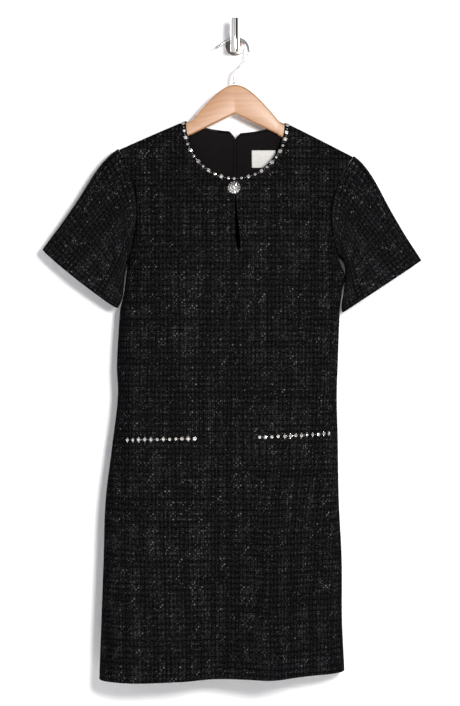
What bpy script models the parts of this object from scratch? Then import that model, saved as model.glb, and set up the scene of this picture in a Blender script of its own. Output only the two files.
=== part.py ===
"""Short-sleeved shift dress on a wooden hanger that hangs from a wall hook.

Metres, +Z up. The origin is the centre of the wall hook's back face, so the wall is the plane Y = 0
and the dress faces -Y. Left and right are as seen from the front: left is -X.

The cloth is a height field on each side of a middle surface: front_y and back_y give the outer face
of the front and of the back at any (x, z). Panels, sleeves, trims and the button are all placed on them.
"""
import math
from collections import namedtuple

import bmesh
import bpy
from mathutils import Vector

# ---------------------------------------------------------------- driving dimensions

WALL = 0.002                # thickness of the tweed with its lining
GAP = 0.0003                # between pieces that meet at a seam
HANG_Y = -0.040             # plane of the hanger, its hook and the shoulder seams
LEFT, RIGHT = -1, 1

Corner = namedtuple("Corner", "x z")
NECK_POINT = {LEFT: Corner(-0.0805, -0.1270), RIGHT: Corner(0.0860, -0.1300)}
SHOULDER_POINT = {LEFT: Corner(-0.1887, -0.1740), RIGHT: Corner(0.1920, -0.1855)}
UNDERARM = {LEFT: Corner(-0.1757, -0.3560), RIGHT: Corner(0.1690, -0.3470)}
CUFF_OUTER = {LEFT: Corner(-0.3108, -0.3368), RIGHT: Corner(0.3010, -0.3547)}
CUFF_INNER = {LEFT: Corner(-0.1925, -0.4295), RIGHT: Corner(0.1765, -0.4372)}
HEM_HEIGHT = {LEFT: -1.0310, RIGHT: -1.0200}

FRONT_NECK_BOTTOM = -0.2185
BACK_NECK_DROP = 0.0165     # centre back neck below the neck points
NOTCH_WIDTH = 0.0095        # each back half's top corner is turned down beside the zip
NOTCH_DEPTH = 0.0095
CROSS_FRONT_INSET = 0.024   # the armhole's curve, inside the line from shoulder to underarm

SHOULDER_ROUND = 0.010      # radius of the cloth over the hanger's arms
SWELL_DROP = 0.120          # how far below the shoulder the front has half its swell
ROOF_SOFTNESS = 0.040       # the shoulder line rounds off over this half-width at the centre

# Outline and depth of the body. Above the underarm the sides run on into the sleeves.
Section = namedtuple("Section", "z centre left right front_swell back_swell y_left y_right")
BODY = (
    Section(-0.100, 0.000, -0.330, 0.330, 0.050, 0.012, HANG_Y, HANG_Y),
    Section(-0.180, 0.000, -0.300, 0.300, 0.052, 0.013, HANG_Y, HANG_Y),
    Section(-0.240, 0.000, -0.213, 0.208, 0.056, 0.014, HANG_Y, HANG_Y),
    Section(-0.300, 0.003, -0.184, 0.180, 0.058, 0.015, -0.041, HANG_Y),
    Section(-0.350, 0.004, -0.1757, 0.1690, 0.059, 0.016, -0.042, HANG_Y),
    Section(-0.378, 0.002, -0.1770, 0.1790, 0.060, 0.016, -0.042, HANG_Y),
    Section(-0.405, 0.000, -0.1805, 0.1745, 0.058, 0.015, -0.043, HANG_Y),
    Section(-0.434, 0.000, -0.1870, 0.1708, 0.055, 0.014, -0.044, -0.039),
    Section(-0.524, -0.004, -0.1920, 0.1676, 0.050, 0.010, -0.047, -0.038),
    Section(-0.573, -0.007, -0.1904, 0.1660, 0.050, 0.010, -0.048, -0.038),
    Section(-0.646, -0.0105, -0.1985, 0.1676, 0.055, 0.013, -0.051, -0.037),
    Section(-0.743, -0.013, -0.2099, 0.1692, 0.060, 0.015, -0.054, -0.037),
    Section(-0.841, -0.015, -0.2131, 0.1725, 0.066, 0.017, -0.057, -0.036),
    Section(-0.939, -0.016, -0.2164, 0.1725, 0.070, 0.019, -0.060, -0.036),
    Section(-1.040, -0.0175, -0.2198, 0.1790, 0.074, 0.020, -0.062, -0.036),
)

# The keyhole slit down the front, and the closed line above it, behind the button.
Slit = namedtuple("Slit", "z half_width")
KEYHOLE = (
    Slit(-0.3350, 0.0000),
    Slit(-0.3270, 0.0026),
    Slit(-0.3140, 0.0031),
    Slit(-0.2960, 0.0023),
    Slit(-0.2740, 0.0014),
    Slit(-0.2500, 0.0006),
    Slit(-0.2340, 0.0002),
    Slit(FRONT_NECK_BOTTOM, 0.0002),
)

# The largest folds. Each grows from nothing at its top to its full rise at the hem.
Fold = namedtuple("Fold", "x_top z_top x_hem width rise")
FRONT_FOLDS = (
    Fold(0.048, -0.480, 0.062, 0.030, 0.020),      # flute right of the centre
    Fold(-0.006, -0.430, -0.032, 0.040, -0.028),   # hollow left of the centre
    Fold(-0.150, -0.600, -0.168, 0.040, 0.010),    # bulge by the left side
    Fold(0.125, -0.560, 0.128, 0.028, -0.009),     # hollow by the right side
)
BACK_FOLDS = (
    Fold(-0.080, -0.520, -0.100, 0.035, 0.007),
    Fold(-0.020, -0.600, -0.030, 0.030, -0.008),
    Fold(0.060, -0.560, 0.070, 0.032, 0.006),
)
FOLD_END = -1.030           # height at which the folds have their full rise

# Panel grids
COLUMNS = 11                # from a panel half's outer edge to its inner edge
LOWER_ROWS = 14             # hem to underarm
UPPER_ROWS = 11             # bottom of the neck to the shoulder seam
ARM_SPAN = 0.061            # how far below the shoulder point the row from the neck's bottom ends
SEAM_CROWDING = 2.4         # power that crowds the upper rows towards the shoulder seam

# Sleeves
SLEEVE_RINGS = 6
CUFF_DEPTH = 0.016          # half the cuff's opening, front to back
CUFF_Y = -0.046
CAP_RISE = 0.085            # height factor of the cap just past the shoulder seam
CUFF_DROOP = {LEFT: 0.005, RIGHT: 0.0}
Ease = namedtuple("Ease", "reach turn")       # the underarm stands off a straight line, away from the body
UNDERARM_EASE = {LEFT: Ease(0.028, 0.45), RIGHT: Ease(0.108, 0.87)}   # up to turn, and towards it after

# Sewn-on pieces
TRIM_WIDTH = 0.0050
TRIM_THICKNESS = 0.0022
TRIM_SETBACK = 0.0030       # trim's centre line from the neck edge
TRIM_LIFT = 0.0005          # trim's underside over the cloth
TRIM_STEP = 0.005
Strip = namedtuple("Strip", "start end")
POCKET_TRIM = {
    LEFT: Strip(Corner(-0.1734, -0.6443), Corner(-0.0586, -0.6410)),
    RIGHT: Strip(Corner(0.0387, -0.6394), Corner(0.1520, -0.6345)),
}
BUTTON_CENTRE = Corner(-0.0016, -0.2355)
BUTTON_RADIUS = 0.0105
BUTTON_HEIGHT = 0.0070
BUTTON_LIFT = 0.0006

FACING_THICKNESS = 0.0010
FACING_OUTER = 0.074        # from the centre to the facing's side
FACING_BOTTOM = -0.245
FACING_SETBACK = 0.003      # below the back neck edge
FACING_INNER = 0.0031       # from the centre to the facing's edge by the zip
LABEL_THICKNESS = 0.0006
LABEL_LEFT, LABEL_RIGHT = 0.0277, 0.0660
LABEL_TOP, LABEL_BOTTOM = -0.1740, -0.2018

ZIP_TOP, ZIP_BOTTOM = -0.1560, -0.7000
ZIP_TAPE_HALF_WIDTH = 0.0024
ZIP_TAPE_THICKNESS = 0.0012

# Zip slider and pull tab; the tab turns on its crossbar, which lies under the slider's crown
SLIDER_CENTRE_Z = -0.1600
SLIDER_WIDTH, SLIDER_HEIGHT, SLIDER_THICKNESS = 0.0080, 0.0120, 0.0014
CROWN_WIDTH, CROWN_THICKNESS = 0.0024, 0.0009
CROWN_OPENING_HALF_LENGTH = 0.0017
CROWN_OPENING_HEIGHT = 0.0020
PULL_WIDTH, PULL_LENGTH, PULL_THICKNESS = 0.0056, 0.0200, 0.0011
PULL_EYE_WIDTH, PULL_EYE_LENGTH = 0.0032, 0.0027

# Hanger
HANGER_HALF_THICKNESS = 0.0055
HANGER_EDGE_ROUND = 0.0034
HANGER_HALF_SPAN = 0.178
ARM_END = 0.005             # the tips round off over this length
HANGER_TOP, HANGER_NOTCH = -0.0683, -0.1150
HUMP_SOFTNESS, HUMP_SLOPE = 0.040, 1.42
NOTCH_SLOPE = 0.485
ARM_START, ARM_HEIGHT = 0.070, 0.0235
ARM_CLEARANCE = 0.0028      # arm's top edge below the shoulder seam's outer face
HANGER_STATIONS = 40
TIP_SHARE = 0.55            # height of the tips' end faces, as a share of the arm's

WIRE_RADIUS = 0.0019
WIRE_X = -0.0016
HOLE_CLEARANCE = 0.0004
SHANK_DEPTH = 0.020
BORE_DEPTH = 0.022

# Wall hook
FLANGE_RADIUS, FLANGE_THICKNESS = 0.016, 0.005
STEM_RADIUS = 0.006
BAR_RADIUS = 0.0071
BAR_TOP, BAR_BOTTOM = 0.0380, -0.0168
BAR_Y = -0.0590
EDGE_ROUND = 0.0008
ROUND_SIDES = 32

# Route of the hook's wire, from the shank in the wood, over the wall hook's stem, to its tip.
WIRE_ROUTE = (
    Corner(WIRE_X, HANGER_TOP - SHANK_DEPTH),
    Corner(WIRE_X, -0.0620),
    Corner(0.0005, -0.0475),
    Corner(0.0105, -0.0375),
    Corner(0.0195, -0.0270),
    Corner(0.0222, -0.0120),
    Corner(0.0160, 0.0020),
    Corner(0.0000, STEM_RADIUS + WIRE_RADIUS + GAP),
    Corner(-0.0140, 0.0035),
    Corner(-0.0240, -0.0040),
    Corner(-0.0325, -0.0090),
)
WIRE_STEPS = 4              # points between two route points


# ---------------------------------------------------------------- reading the tables

def catmull_rom(before, start, end, after, t):
    """The curve's value between start and end."""
    return 0.5 * (2 * start + (end - before) * t + (2 * before - 5 * start + 4 * end - after) * t ** 2
                  + (3 * start - before - 3 * end + after) * t ** 3)


def section(z, column):
    """A column of the BODY table at height z, on a smooth curve through its rows."""
    last = len(BODY) - 2
    row = next((i for i in range(last) if BODY[i + 1].z <= z), last)
    around = [BODY[min(max(row + k, 0), len(BODY) - 1)] for k in (-1, 0, 1, 2)]
    t = (z - around[1].z) / (around[2].z - around[1].z)
    return catmull_rom(*(getattr(entry, column) for entry in around), t)


def smoothstep(value):
    value = min(max(value, 0.0), 1.0)
    return value * value * (3.0 - 2.0 * value)


# ---------------------------------------------------------------- the cloth's surfaces

def side_roof(side, x):
    """Height of one shoulder line at x, carried on over the neck as a soft peak."""
    shoulder, neck = SHOULDER_POINT[side], NECK_POINT[side]
    reach, neck_reach, here = (math.hypot(value, ROOF_SOFTNESS) for value in (shoulder.x, neck.x, x))
    slope = (neck.z - shoulder.z) / (reach - neck_reach)
    return shoulder.z + slope * (reach - here)


def shoulder_height(x):
    """Height of the shoulder seams' line at x."""
    mix = smoothstep(0.5 + x / (2 * ROOF_SOFTNESS))
    return (1 - mix) * side_roof(LEFT, x) + mix * side_roof(RIGHT, x)


def across(x, z):
    """Where x lies across the body: -1 at the left side, 0 at the centre line, 1 at the right side."""
    centre = section(z, "centre")
    edge = section(z, "left") if x < centre else section(z, "right")
    return (x - centre) / abs(edge - centre)


def middle_y(x, z):
    """The surface between front and back, which holds the shoulder and side seams."""
    share = 0.5 + 0.5 * min(max(across(x, z), -1.0), 1.0)
    return (1 - share) * section(z, "y_left") + share * section(z, "y_right")


def fold_rise(folds, x, z):
    rise = 0.0
    for fold in folds:
        growth = (fold.z_top - z) / (fold.z_top - FOLD_END)
        x_here = fold.x_top + (fold.x_hem - fold.x_top) * growth
        rise += fold.rise * smoothstep(growth) * math.exp(-((x - x_here) / fold.width) ** 2)
    return rise


def depth(x, z, swell_column, folds):
    """How far the cloth's outer face stands from the middle surface."""
    drop = max(shoulder_height(x) - z, 0.0)
    from_side = min(abs(across(x, z)), 1.0)
    turn = SHOULDER_ROUND - min(drop, SHOULDER_ROUND)
    over_arm = math.sqrt(SHOULDER_ROUND ** 2 - turn ** 2)
    swell = section(z, swell_column) * drop ** 2 / (drop ** 2 + SWELL_DROP ** 2)
    return (over_arm * math.sqrt(1 - from_side ** 8) + swell * math.sqrt(1 - from_side ** 2.6)
            + fold_rise(folds, x, z) * (1 - from_side ** 6))


def front_y(x, z):
    return middle_y(x, z) - GAP / 2 - depth(x, z, "front_swell", FRONT_FOLDS)


def back_y(x, z):
    return middle_y(x, z) + GAP / 2 + depth(x, z, "back_swell", BACK_FOLDS)


def outward_normal(surface_y, x, z, outward):
    """Unit normal of a surface away from its edges; outward is -1 on the front and 1 on the back."""
    step = 0.001
    slope_x = (surface_y(x + step, z) - surface_y(x - step, z)) / (2 * step)
    slope_z = (surface_y(x, z + step) - surface_y(x, z - step)) / (2 * step)
    return Vector((-slope_x, 1.0, -slope_z)).normalized() * outward


# ---------------------------------------------------------------- panel outlines

def armhole_x(side, z):
    """The armhole seam, a shallow curve from the shoulder point to the underarm."""
    shoulder, underarm = SHOULDER_POINT[side], UNDERARM[side]
    fraction = (shoulder.z - z) / (shoulder.z - underarm.z)
    line = shoulder.x + (underarm.x - shoulder.x) * fraction
    return line - side * CROSS_FRONT_INSET * math.sin(math.pi * min(max(fraction, 0.0), 1.0))


def back_neck_height(side, x):
    neck = NECK_POINT[side]
    notch = NOTCH_DEPTH * max(0.0, 1 - abs(x) / NOTCH_WIDTH)
    return neck.z - BACK_NECK_DROP * (1 - (x / neck.x) ** 2) - notch


def slit_half_width(z):
    for lower, upper in zip(KEYHOLE, KEYHOLE[1:]):
        if lower.z <= z <= upper.z:
            t = (z - lower.z) / (upper.z - lower.z)
            return lower.half_width + (upper.half_width - lower.half_width) * t
    return 0.0


def neck_fractions():
    """How far round the neck each upper row starts: 1 at its bottom, 0 at the shoulder seam.

    One of them falls on the corner of the back neck's notch.
    """
    even = [math.sin(0.5 * math.pi * (1 - k / UPPER_ROWS)) ** SEAM_CROWDING for k in range(UPPER_ROWS + 1)]
    notch = math.sqrt(1 - (NOTCH_WIDTH / abs(NECK_POINT[LEFT].x)) ** 2)
    return sorted(even + [notch], reverse=True)


# roundness crowds a row's points towards a side seam; roof_share bends it along the shoulder line.
Row = namedtuple("Row", "outer inner on_side_seam open_centre roundness roof_share")


def half_rows(side, is_back):
    """The rows of half a panel, hem first, each from the outer edge to the inner edge, as (x, z)."""
    shoulder, underarm, neck = SHOULDER_POINT[side], UNDERARM[side], NECK_POINT[side]
    slit_bottom = KEYHOLE[0].z
    hem_centre = 0.5 * (HEM_HEIGHT[LEFT] + HEM_HEIGHT[RIGHT])
    seam_column = "left" if side == LEFT else "right"
    cut = side * GAP / 2
    rows = []

    def opening(z):
        half_width = GAP / 2 if is_back else slit_half_width(z)
        return half_width if half_width >= GAP / 2 else 0.0

    def centre_corner(z):
        return Corner(section(z, "centre") + side * opening(z), z)

    def arm_corner(z):
        return Corner(armhole_x(side, z) - cut, z)

    for k in range(LOWER_ROWS + 1):
        rise = k / LOWER_ROWS
        z_outer = HEM_HEIGHT[side] + (underarm.z - HEM_HEIGHT[side]) * rise
        z_inner = hem_centre + (slit_bottom - hem_centre) * rise
        x_outer = section(z_outer, seam_column) if k < LOWER_ROWS else underarm.x
        rows.append(Row(Corner(x_outer, z_outer), centre_corner(z_inner), True, opening(z_inner) > 0, 1.0, 0.0))

    neck_row_arm = shoulder.z - ARM_SPAN
    steps = len(KEYHOLE) - 1
    for k in range(1, steps + 1):
        rise = k / steps
        z_outer = underarm.z + (neck_row_arm - underarm.z) * rise
        z_inner = KEYHOLE[k].z
        if is_back:
            z_inner = slit_bottom + (back_neck_height(side, 0.0) - slit_bottom) * rise
        roundness = max(0.0, 1 - 2.5 * rise)
        rows.append(Row(arm_corner(z_outer), centre_corner(z_inner), False, True, roundness, 0.0))

    for fraction in neck_fractions()[1:]:
        x_inner = neck.x * math.sqrt(1 - fraction ** 2)
        if is_back:
            inner = Corner(x_inner, back_neck_height(side, x_inner))
        else:
            inner = Corner(x_inner, neck.z + (FRONT_NECK_BOTTOM - neck.z) * fraction)
        outer = arm_corner(shoulder.z - ARM_SPAN * fraction)
        rows.append(Row(outer, inner, False, True, 0.0, 1 - fraction))
    return rows


def row_corner(row, share):
    """A point of a row: share 0 is its outer edge, 1 its inner edge."""
    turned = 1 - math.cos(0.5 * math.pi * share)
    place = row.roundness * turned + (1 - row.roundness) * share
    x = row.outer.x + (row.inner.x - row.outer.x) * place
    z = row.outer.z + (row.inner.z - row.outer.z) * place
    ends = shoulder_height(row.outer.x), shoulder_height(row.inner.x)
    above_line = shoulder_height(x) - (ends[0] + (ends[1] - ends[0]) * place)
    return Corner(x, z + row.roof_share * above_line)


# ---------------------------------------------------------------- building bodies

def material(name, colour, roughness, metallic=0.0):
    made = bpy.data.materials.get(name) or bpy.data.materials.new(name)
    made.use_nodes = True
    shader = made.node_tree.nodes["Principled BSDF"]
    shader.inputs["Base Color"].default_value = (*colour, 1.0)
    shader.inputs["Roughness"].default_value = roughness
    shader.inputs["Metallic"].default_value = metallic
    return made


def tweed():
    return material("black_tweed", (0.018, 0.018, 0.022), 0.9)


def lining():
    return material("black_lining", (0.012, 0.012, 0.014), 0.6)


def stones():
    return material("clear_stone", (0.80, 0.79, 0.76), 0.15)


def chrome():
    return material("chrome", (0.78, 0.78, 0.79), 0.12, 1.0)


def wood():
    return material("pale_wood", (0.72, 0.47, 0.27), 0.45)


def finish(name, mesh_data, its_material):
    """A bmesh becomes a named object with outward faces."""
    bmesh.ops.recalc_face_normals(mesh_data, faces=mesh_data.faces)
    mesh = bpy.data.meshes.new(name)
    mesh_data.to_mesh(mesh)
    mesh_data.free()
    mesh.materials.append(its_material)
    mesh.shade_smooth()
    mesh.set_sharp_from_angle(angle=math.radians(35))
    made = bpy.data.objects.new(name, mesh)
    bpy.context.scene.collection.objects.link(made)
    return made


def thick_sheet(name, points, faces, thickness, butts, its_material):
    """A sheet thickened inwards into one closed wall.

    butts gives, for a point on an edge that meets another piece, the directions towards that piece:
    the edge is cut square there, so the inner corner never reaches past the outer one.
    """
    sheet = bmesh.new()
    outer = [sheet.verts.new(point) for point in points]
    outer_faces = [sheet.faces.new([outer[index] for index in face]) for face in faces]
    sheet.normal_update()
    inner = []
    for index, vertex in enumerate(list(outer)):
        step = -thickness * vertex.normal
        for direction in butts.get(index, ()):
            step -= direction * max(0.0, step.dot(direction))
        inner.append(vertex.co + step.normalized() * thickness)
    inner = [sheet.verts.new(point) for point in inner]
    number = {vertex: index for index, vertex in enumerate(outer)}
    rims = []
    for face in outer_faces:
        for loop in face.loops:
            if loop.edge.is_boundary:
                rims.append((number[loop.vert], number[loop.link_loop_next.vert]))
    for face in faces:
        sheet.faces.new([inner[index] for index in reversed(face)])
    for start, end in rims:
        sheet.faces.new((outer[end], outer[start], inner[start], inner[end]))
    return finish(name, sheet, its_material)


def panel(name, surface_y, sides, is_back):
    """A front or back panel, made of one or two halves that share the centre line where it is closed."""
    points, index_of, faces, butts = [], {}, [], {}
    towards_other_panel = Vector((0, -1 if is_back else 1, 0))
    for side in sides:
        rows = half_rows(side, is_back)
        last_row = len(rows) - 1
        outwards = Vector((side, 0, 0))
        for r, row in enumerate(rows):
            for c in range(COLUMNS + 1):
                shared = c == COLUMNS and not row.open_centre
                key = (r, 0 if shared else side, c)
                if key in index_of:
                    continue
                corner = row_corner(row, c / COLUMNS)
                y = surface_y(corner.x, corner.z)
                if r == last_row or (c == 0 and row.on_side_seam):
                    y = middle_y(corner.x, corner.z) - towards_other_panel.y * GAP / 2
                index_of[key] = len(points)
                points.append(Vector((corner.x, y, corner.z)))
                directions = []
                if c == 0 and row.on_side_seam or r == last_row:
                    directions.append(towards_other_panel)
                if c == 0 and r >= LOWER_ROWS:
                    directions.append(outwards)
                if c == COLUMNS and row.open_centre:
                    directions.append(-outwards)
                butts[index_of[key]] = directions

        def at(r, c):
            shared = c == COLUMNS and not rows[r].open_centre
            return index_of[(r, 0 if shared else side, c)]

        for r in range(last_row):
            for c in range(COLUMNS):
                face = (at(r, c), at(r, c + 1), at(r + 1, c + 1), at(r + 1, c))
                outward_order = (side == LEFT) != is_back
                faces.append(face if outward_order else tuple(reversed(face)))
    return thick_sheet(name, points, faces, WALL, butts, tweed())


def sleeve(name, side):
    """A set-in sleeve: rings from the armhole, which it meets row for row, to the open cuff."""
    shoulder, underarm = SHOULDER_POINT[side], UNDERARM[side]
    cuff_outer, cuff_inner = CUFF_OUTER[side], CUFF_INNER[side]
    heights = [row.outer.z for row in half_rows(side, False) if not row.on_side_seam]
    heights = [underarm.z] + heights
    heights.reverse()
    steps = len(heights) - 1
    ease = UNDERARM_EASE[side]
    axis = Vector((cuff_outer.x - shoulder.x, 0, cuff_outer.z - shoulder.z)).normalized()
    cap_up = Vector((side * abs(axis.z), 0, abs(axis.x)))
    outwards = Vector((side, 0, 0))

    def start_point(step, surface_y):
        z = heights[step]
        x = armhole_x(side, z)
        y = middle_y(x, z) if step in (0, steps) else surface_y(x, z)
        down = (shoulder.z - z) / (shoulder.z - underarm.z)
        return Vector((x + side * (GAP / 2 + GAP * down ** 6), y, z))

    def cuff_point(step, facing):
        turn = math.pi * step / steps
        along = 0.5 * (1 - math.cos(turn))
        return Vector((cuff_outer.x + (cuff_inner.x - cuff_outer.x) * along,
                       CUFF_Y + facing * CUFF_DEPTH * math.sin(turn),
                       cuff_outer.z + (cuff_inner.z - cuff_outer.z) * along - CUFF_DROOP[side] * math.sin(turn)))

    round_trip = [(step, front_y, -1) for step in range(steps + 1)]
    round_trip += [(step, back_y, 1) for step in range(steps - 1, 0, -1)]
    points, faces, butts = [], [], {}
    for ring in range(SLEEVE_RINGS + 1):
        way = (ring / SLEEVE_RINGS) ** 1.3
        for step, surface_y, facing in round_trip:
            down = (shoulder.z - heights[step]) / (shoulder.z - underarm.z)
            point = start_point(step, surface_y).lerp(cuff_point(step, facing), way)
            point += cap_up * CAP_RISE * way * (1 - way) ** 4 * (1 - down) ** 2
            point += outwards * ease.reach * way * (1 - way) * (1 - way / ease.turn) * down ** 2
            if ring == 0:
                butts[len(points)] = [-outwards]
            points.append(point)
    around = len(round_trip)
    for ring in range(SLEEVE_RINGS):
        for k in range(around):
            after = (k + 1) % around
            face = (ring * around + k, ring * around + after,
                    (ring + 1) * around + after, (ring + 1) * around + k)
            faces.append(face if side == LEFT else tuple(reversed(face)))
    return thick_sheet(name, points, faces, WALL, butts, tweed())


def trim_strip(name, route):
    """A raised band on the front panel along a route of (x, z) corners."""
    half, top = TRIM_WIDTH / 2, TRIM_LIFT + TRIM_THICKNESS
    profile = ((-half, TRIM_LIFT), (half, TRIM_LIFT), (half, top - 0.0008), (half - 0.001, top),
               (0.001 - half, top), (-half, top - 0.0008))
    places = [Vector((corner.x, front_y(corner.x, corner.z), corner.z)) for corner in route]
    band = bmesh.new()
    rings = []
    for k, place in enumerate(places):
        ahead = (places[min(k + 1, len(places) - 1)] - places[max(k - 1, 0)]).normalized()
        normal = outward_normal(front_y, place.x, place.z, -1)
        across_band = ahead.cross(normal).normalized()
        rings.append([band.verts.new(place + across_band * u + normal * v) for u, v in profile])
    for ring, following in zip(rings, rings[1:]):
        for k in range(len(profile)):
            after = (k + 1) % len(profile)
            band.faces.new((ring[k], ring[after], following[after], following[k]))
    band.faces.new(rings[0])
    band.faces.new(rings[-1])
    return finish(name, band, stones())


def neck_trim(name, side):
    """From just under the shoulder seam to just beside the slit, a set distance outside the neck edge."""
    neck = NECK_POINT[side]
    reach = abs(neck.x) + TRIM_SETBACK
    drop = neck.z - FRONT_NECK_BOTTOM + TRIM_SETBACK
    first = math.asin(0.0045 / drop)
    last = math.acos(0.0022 / reach)
    count = round(0.5 * (reach + drop) * (last - first) / TRIM_STEP)
    angles = [first + (last - first) * k / count for k in range(count + 1)]
    return trim_strip(name, [Corner(side * reach * math.cos(a), neck.z - drop * math.sin(a)) for a in angles])


def pocket_trim(name, side):
    start, end = POCKET_TRIM[side].start, POCKET_TRIM[side].end
    count = round((end.x - start.x) / (2 * TRIM_STEP))
    route = [Corner(start.x + (end.x - start.x) * k / count, start.z + (end.z - start.z) * k / count)
             for k in range(count + 1)]
    return trim_strip(name, route)


def turned(name, profile, sides, its_material):
    """A body turned about its own Z axis from (radius, height) corners; the ends lie on the axis."""
    body = bmesh.new()
    rings = []
    for radius, height in profile:
        if radius == 0:
            rings.append([body.verts.new((0, 0, height))])
            continue
        angles = [2 * math.pi * k / sides for k in range(sides)]
        rings.append([body.verts.new((radius * math.cos(a), radius * math.sin(a), height)) for a in angles])
    for ring, following in zip(rings, rings[1:]):
        for k in range(sides):
            corners = [ring[k % len(ring)], ring[(k + 1) % len(ring)],
                       following[(k + 1) % len(following)], following[k % len(following)]]
            body.faces.new(list(dict.fromkeys(corners)))
    return finish(name, body, its_material)


def button():
    """A domed button on the front, over the top of the slit, square to the cloth."""
    x, z = BUTTON_CENTRE
    normal = outward_normal(front_y, x, z, -1)
    dome = [(0, 0), (0.8 * BUTTON_RADIUS, 0), (BUTTON_RADIUS, 0.4 * BUTTON_HEIGHT),
            (0.8 * BUTTON_RADIUS, 0.8 * BUTTON_HEIGHT), (0, BUTTON_HEIGHT)]
    made = turned("button", dome, 24, stones())
    made.location = Vector((x, front_y(x, z), z)) + normal * BUTTON_LIFT
    made.rotation_euler = normal.to_track_quat("Z", "Y").to_euler()
    return made


def inside_back(name, columns, rows, corner_at, depth_in, thickness, its_material):
    """A sheet on the inner face of the back, depth_in from the back's outer face."""
    points, faces = [], []
    for r in range(rows + 1):
        for c in range(columns + 1):
            corner = corner_at(c / columns, r / rows)
            normal = outward_normal(back_y, corner.x, corner.z, 1)
            points.append(Vector((corner.x, back_y(corner.x, corner.z), corner.z)) - normal * depth_in)
    wide = columns + 1
    for r in range(rows):
        for c in range(columns):
            faces.append((r * wide + c, (r + 1) * wide + c, (r + 1) * wide + c + 1, r * wide + c + 1))
    return thick_sheet(name, points, faces, thickness, {}, its_material)


def back_facing(name, side):
    def corner_at(u, v):
        x = side * (FACING_INNER + (FACING_OUTER - FACING_INNER) * u)
        top = back_neck_height(side, x) - FACING_SETBACK
        return Corner(x, FACING_BOTTOM + (top - FACING_BOTTOM) * v)

    def mirrored(u, v):
        return corner_at(1 - u, v)

    return inside_back(name, 6, 6, corner_at if side == RIGHT else mirrored, WALL + GAP,
                       FACING_THICKNESS, lining())


def label():
    def corner_at(u, v):
        return Corner(LABEL_LEFT + (LABEL_RIGHT - LABEL_LEFT) * u, LABEL_BOTTOM + (LABEL_TOP - LABEL_BOTTOM) * v)

    depth_in = WALL + GAP + FACING_THICKNESS + GAP
    return inside_back("label", 4, 3, corner_at, depth_in, LABEL_THICKNESS,
                       material("label_white", (0.80, 0.78, 0.72), 0.7))


def zip_tape():
    def corner_at(u, v):
        z = ZIP_BOTTOM + (ZIP_TOP - ZIP_BOTTOM) * v
        return Corner(section(z, "centre") + ZIP_TAPE_HALF_WIDTH * (2 * u - 1), z)

    return inside_back("zip_tape", 1, 24, corner_at, WALL + 2 * GAP, ZIP_TAPE_THICKNESS,
                       material("black_tape", (0.015, 0.015, 0.017), 0.7))


def box(name, low, high, its_material):
    body = bmesh.new()
    corners = [body.verts.new((x, y, z)) for x in (low[0], high[0]) for y in (low[1], high[1])
               for z in (low[2], high[2])]
    for face in ((0, 1, 3, 2), (4, 6, 7, 5), (0, 4, 5, 1), (2, 3, 7, 6), (0, 2, 6, 4), (1, 5, 7, 3)):
        body.faces.new([corners[index] for index in face])
    return finish(name, body, its_material)


def prism(name, outline, low, high, axis, its_material):
    """A flat outline pushed along X or Y, from low to high; the outline is in the other two axes."""
    body = bmesh.new()
    ends = []
    for level in (low, high):
        places = [(level, a, b) if axis == "X" else (a, level, b) for a, b in outline]
        ends.append([body.verts.new(place) for place in places])
        body.faces.new(ends[-1])
    for k in range(len(outline)):
        after = (k + 1) % len(outline)
        body.faces.new((ends[0][k], ends[0][after], ends[1][after], ends[1][k]))
    return finish(name, body, its_material)


def combine(target, tool, operation):
    """A Boolean that keeps the tool as a hidden guide."""
    change = target.modifiers.new(operation.lower(), "BOOLEAN")
    change.operation = operation
    change.object = tool
    tool.hide_render = True
    tool.display_type = "WIRE"


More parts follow.
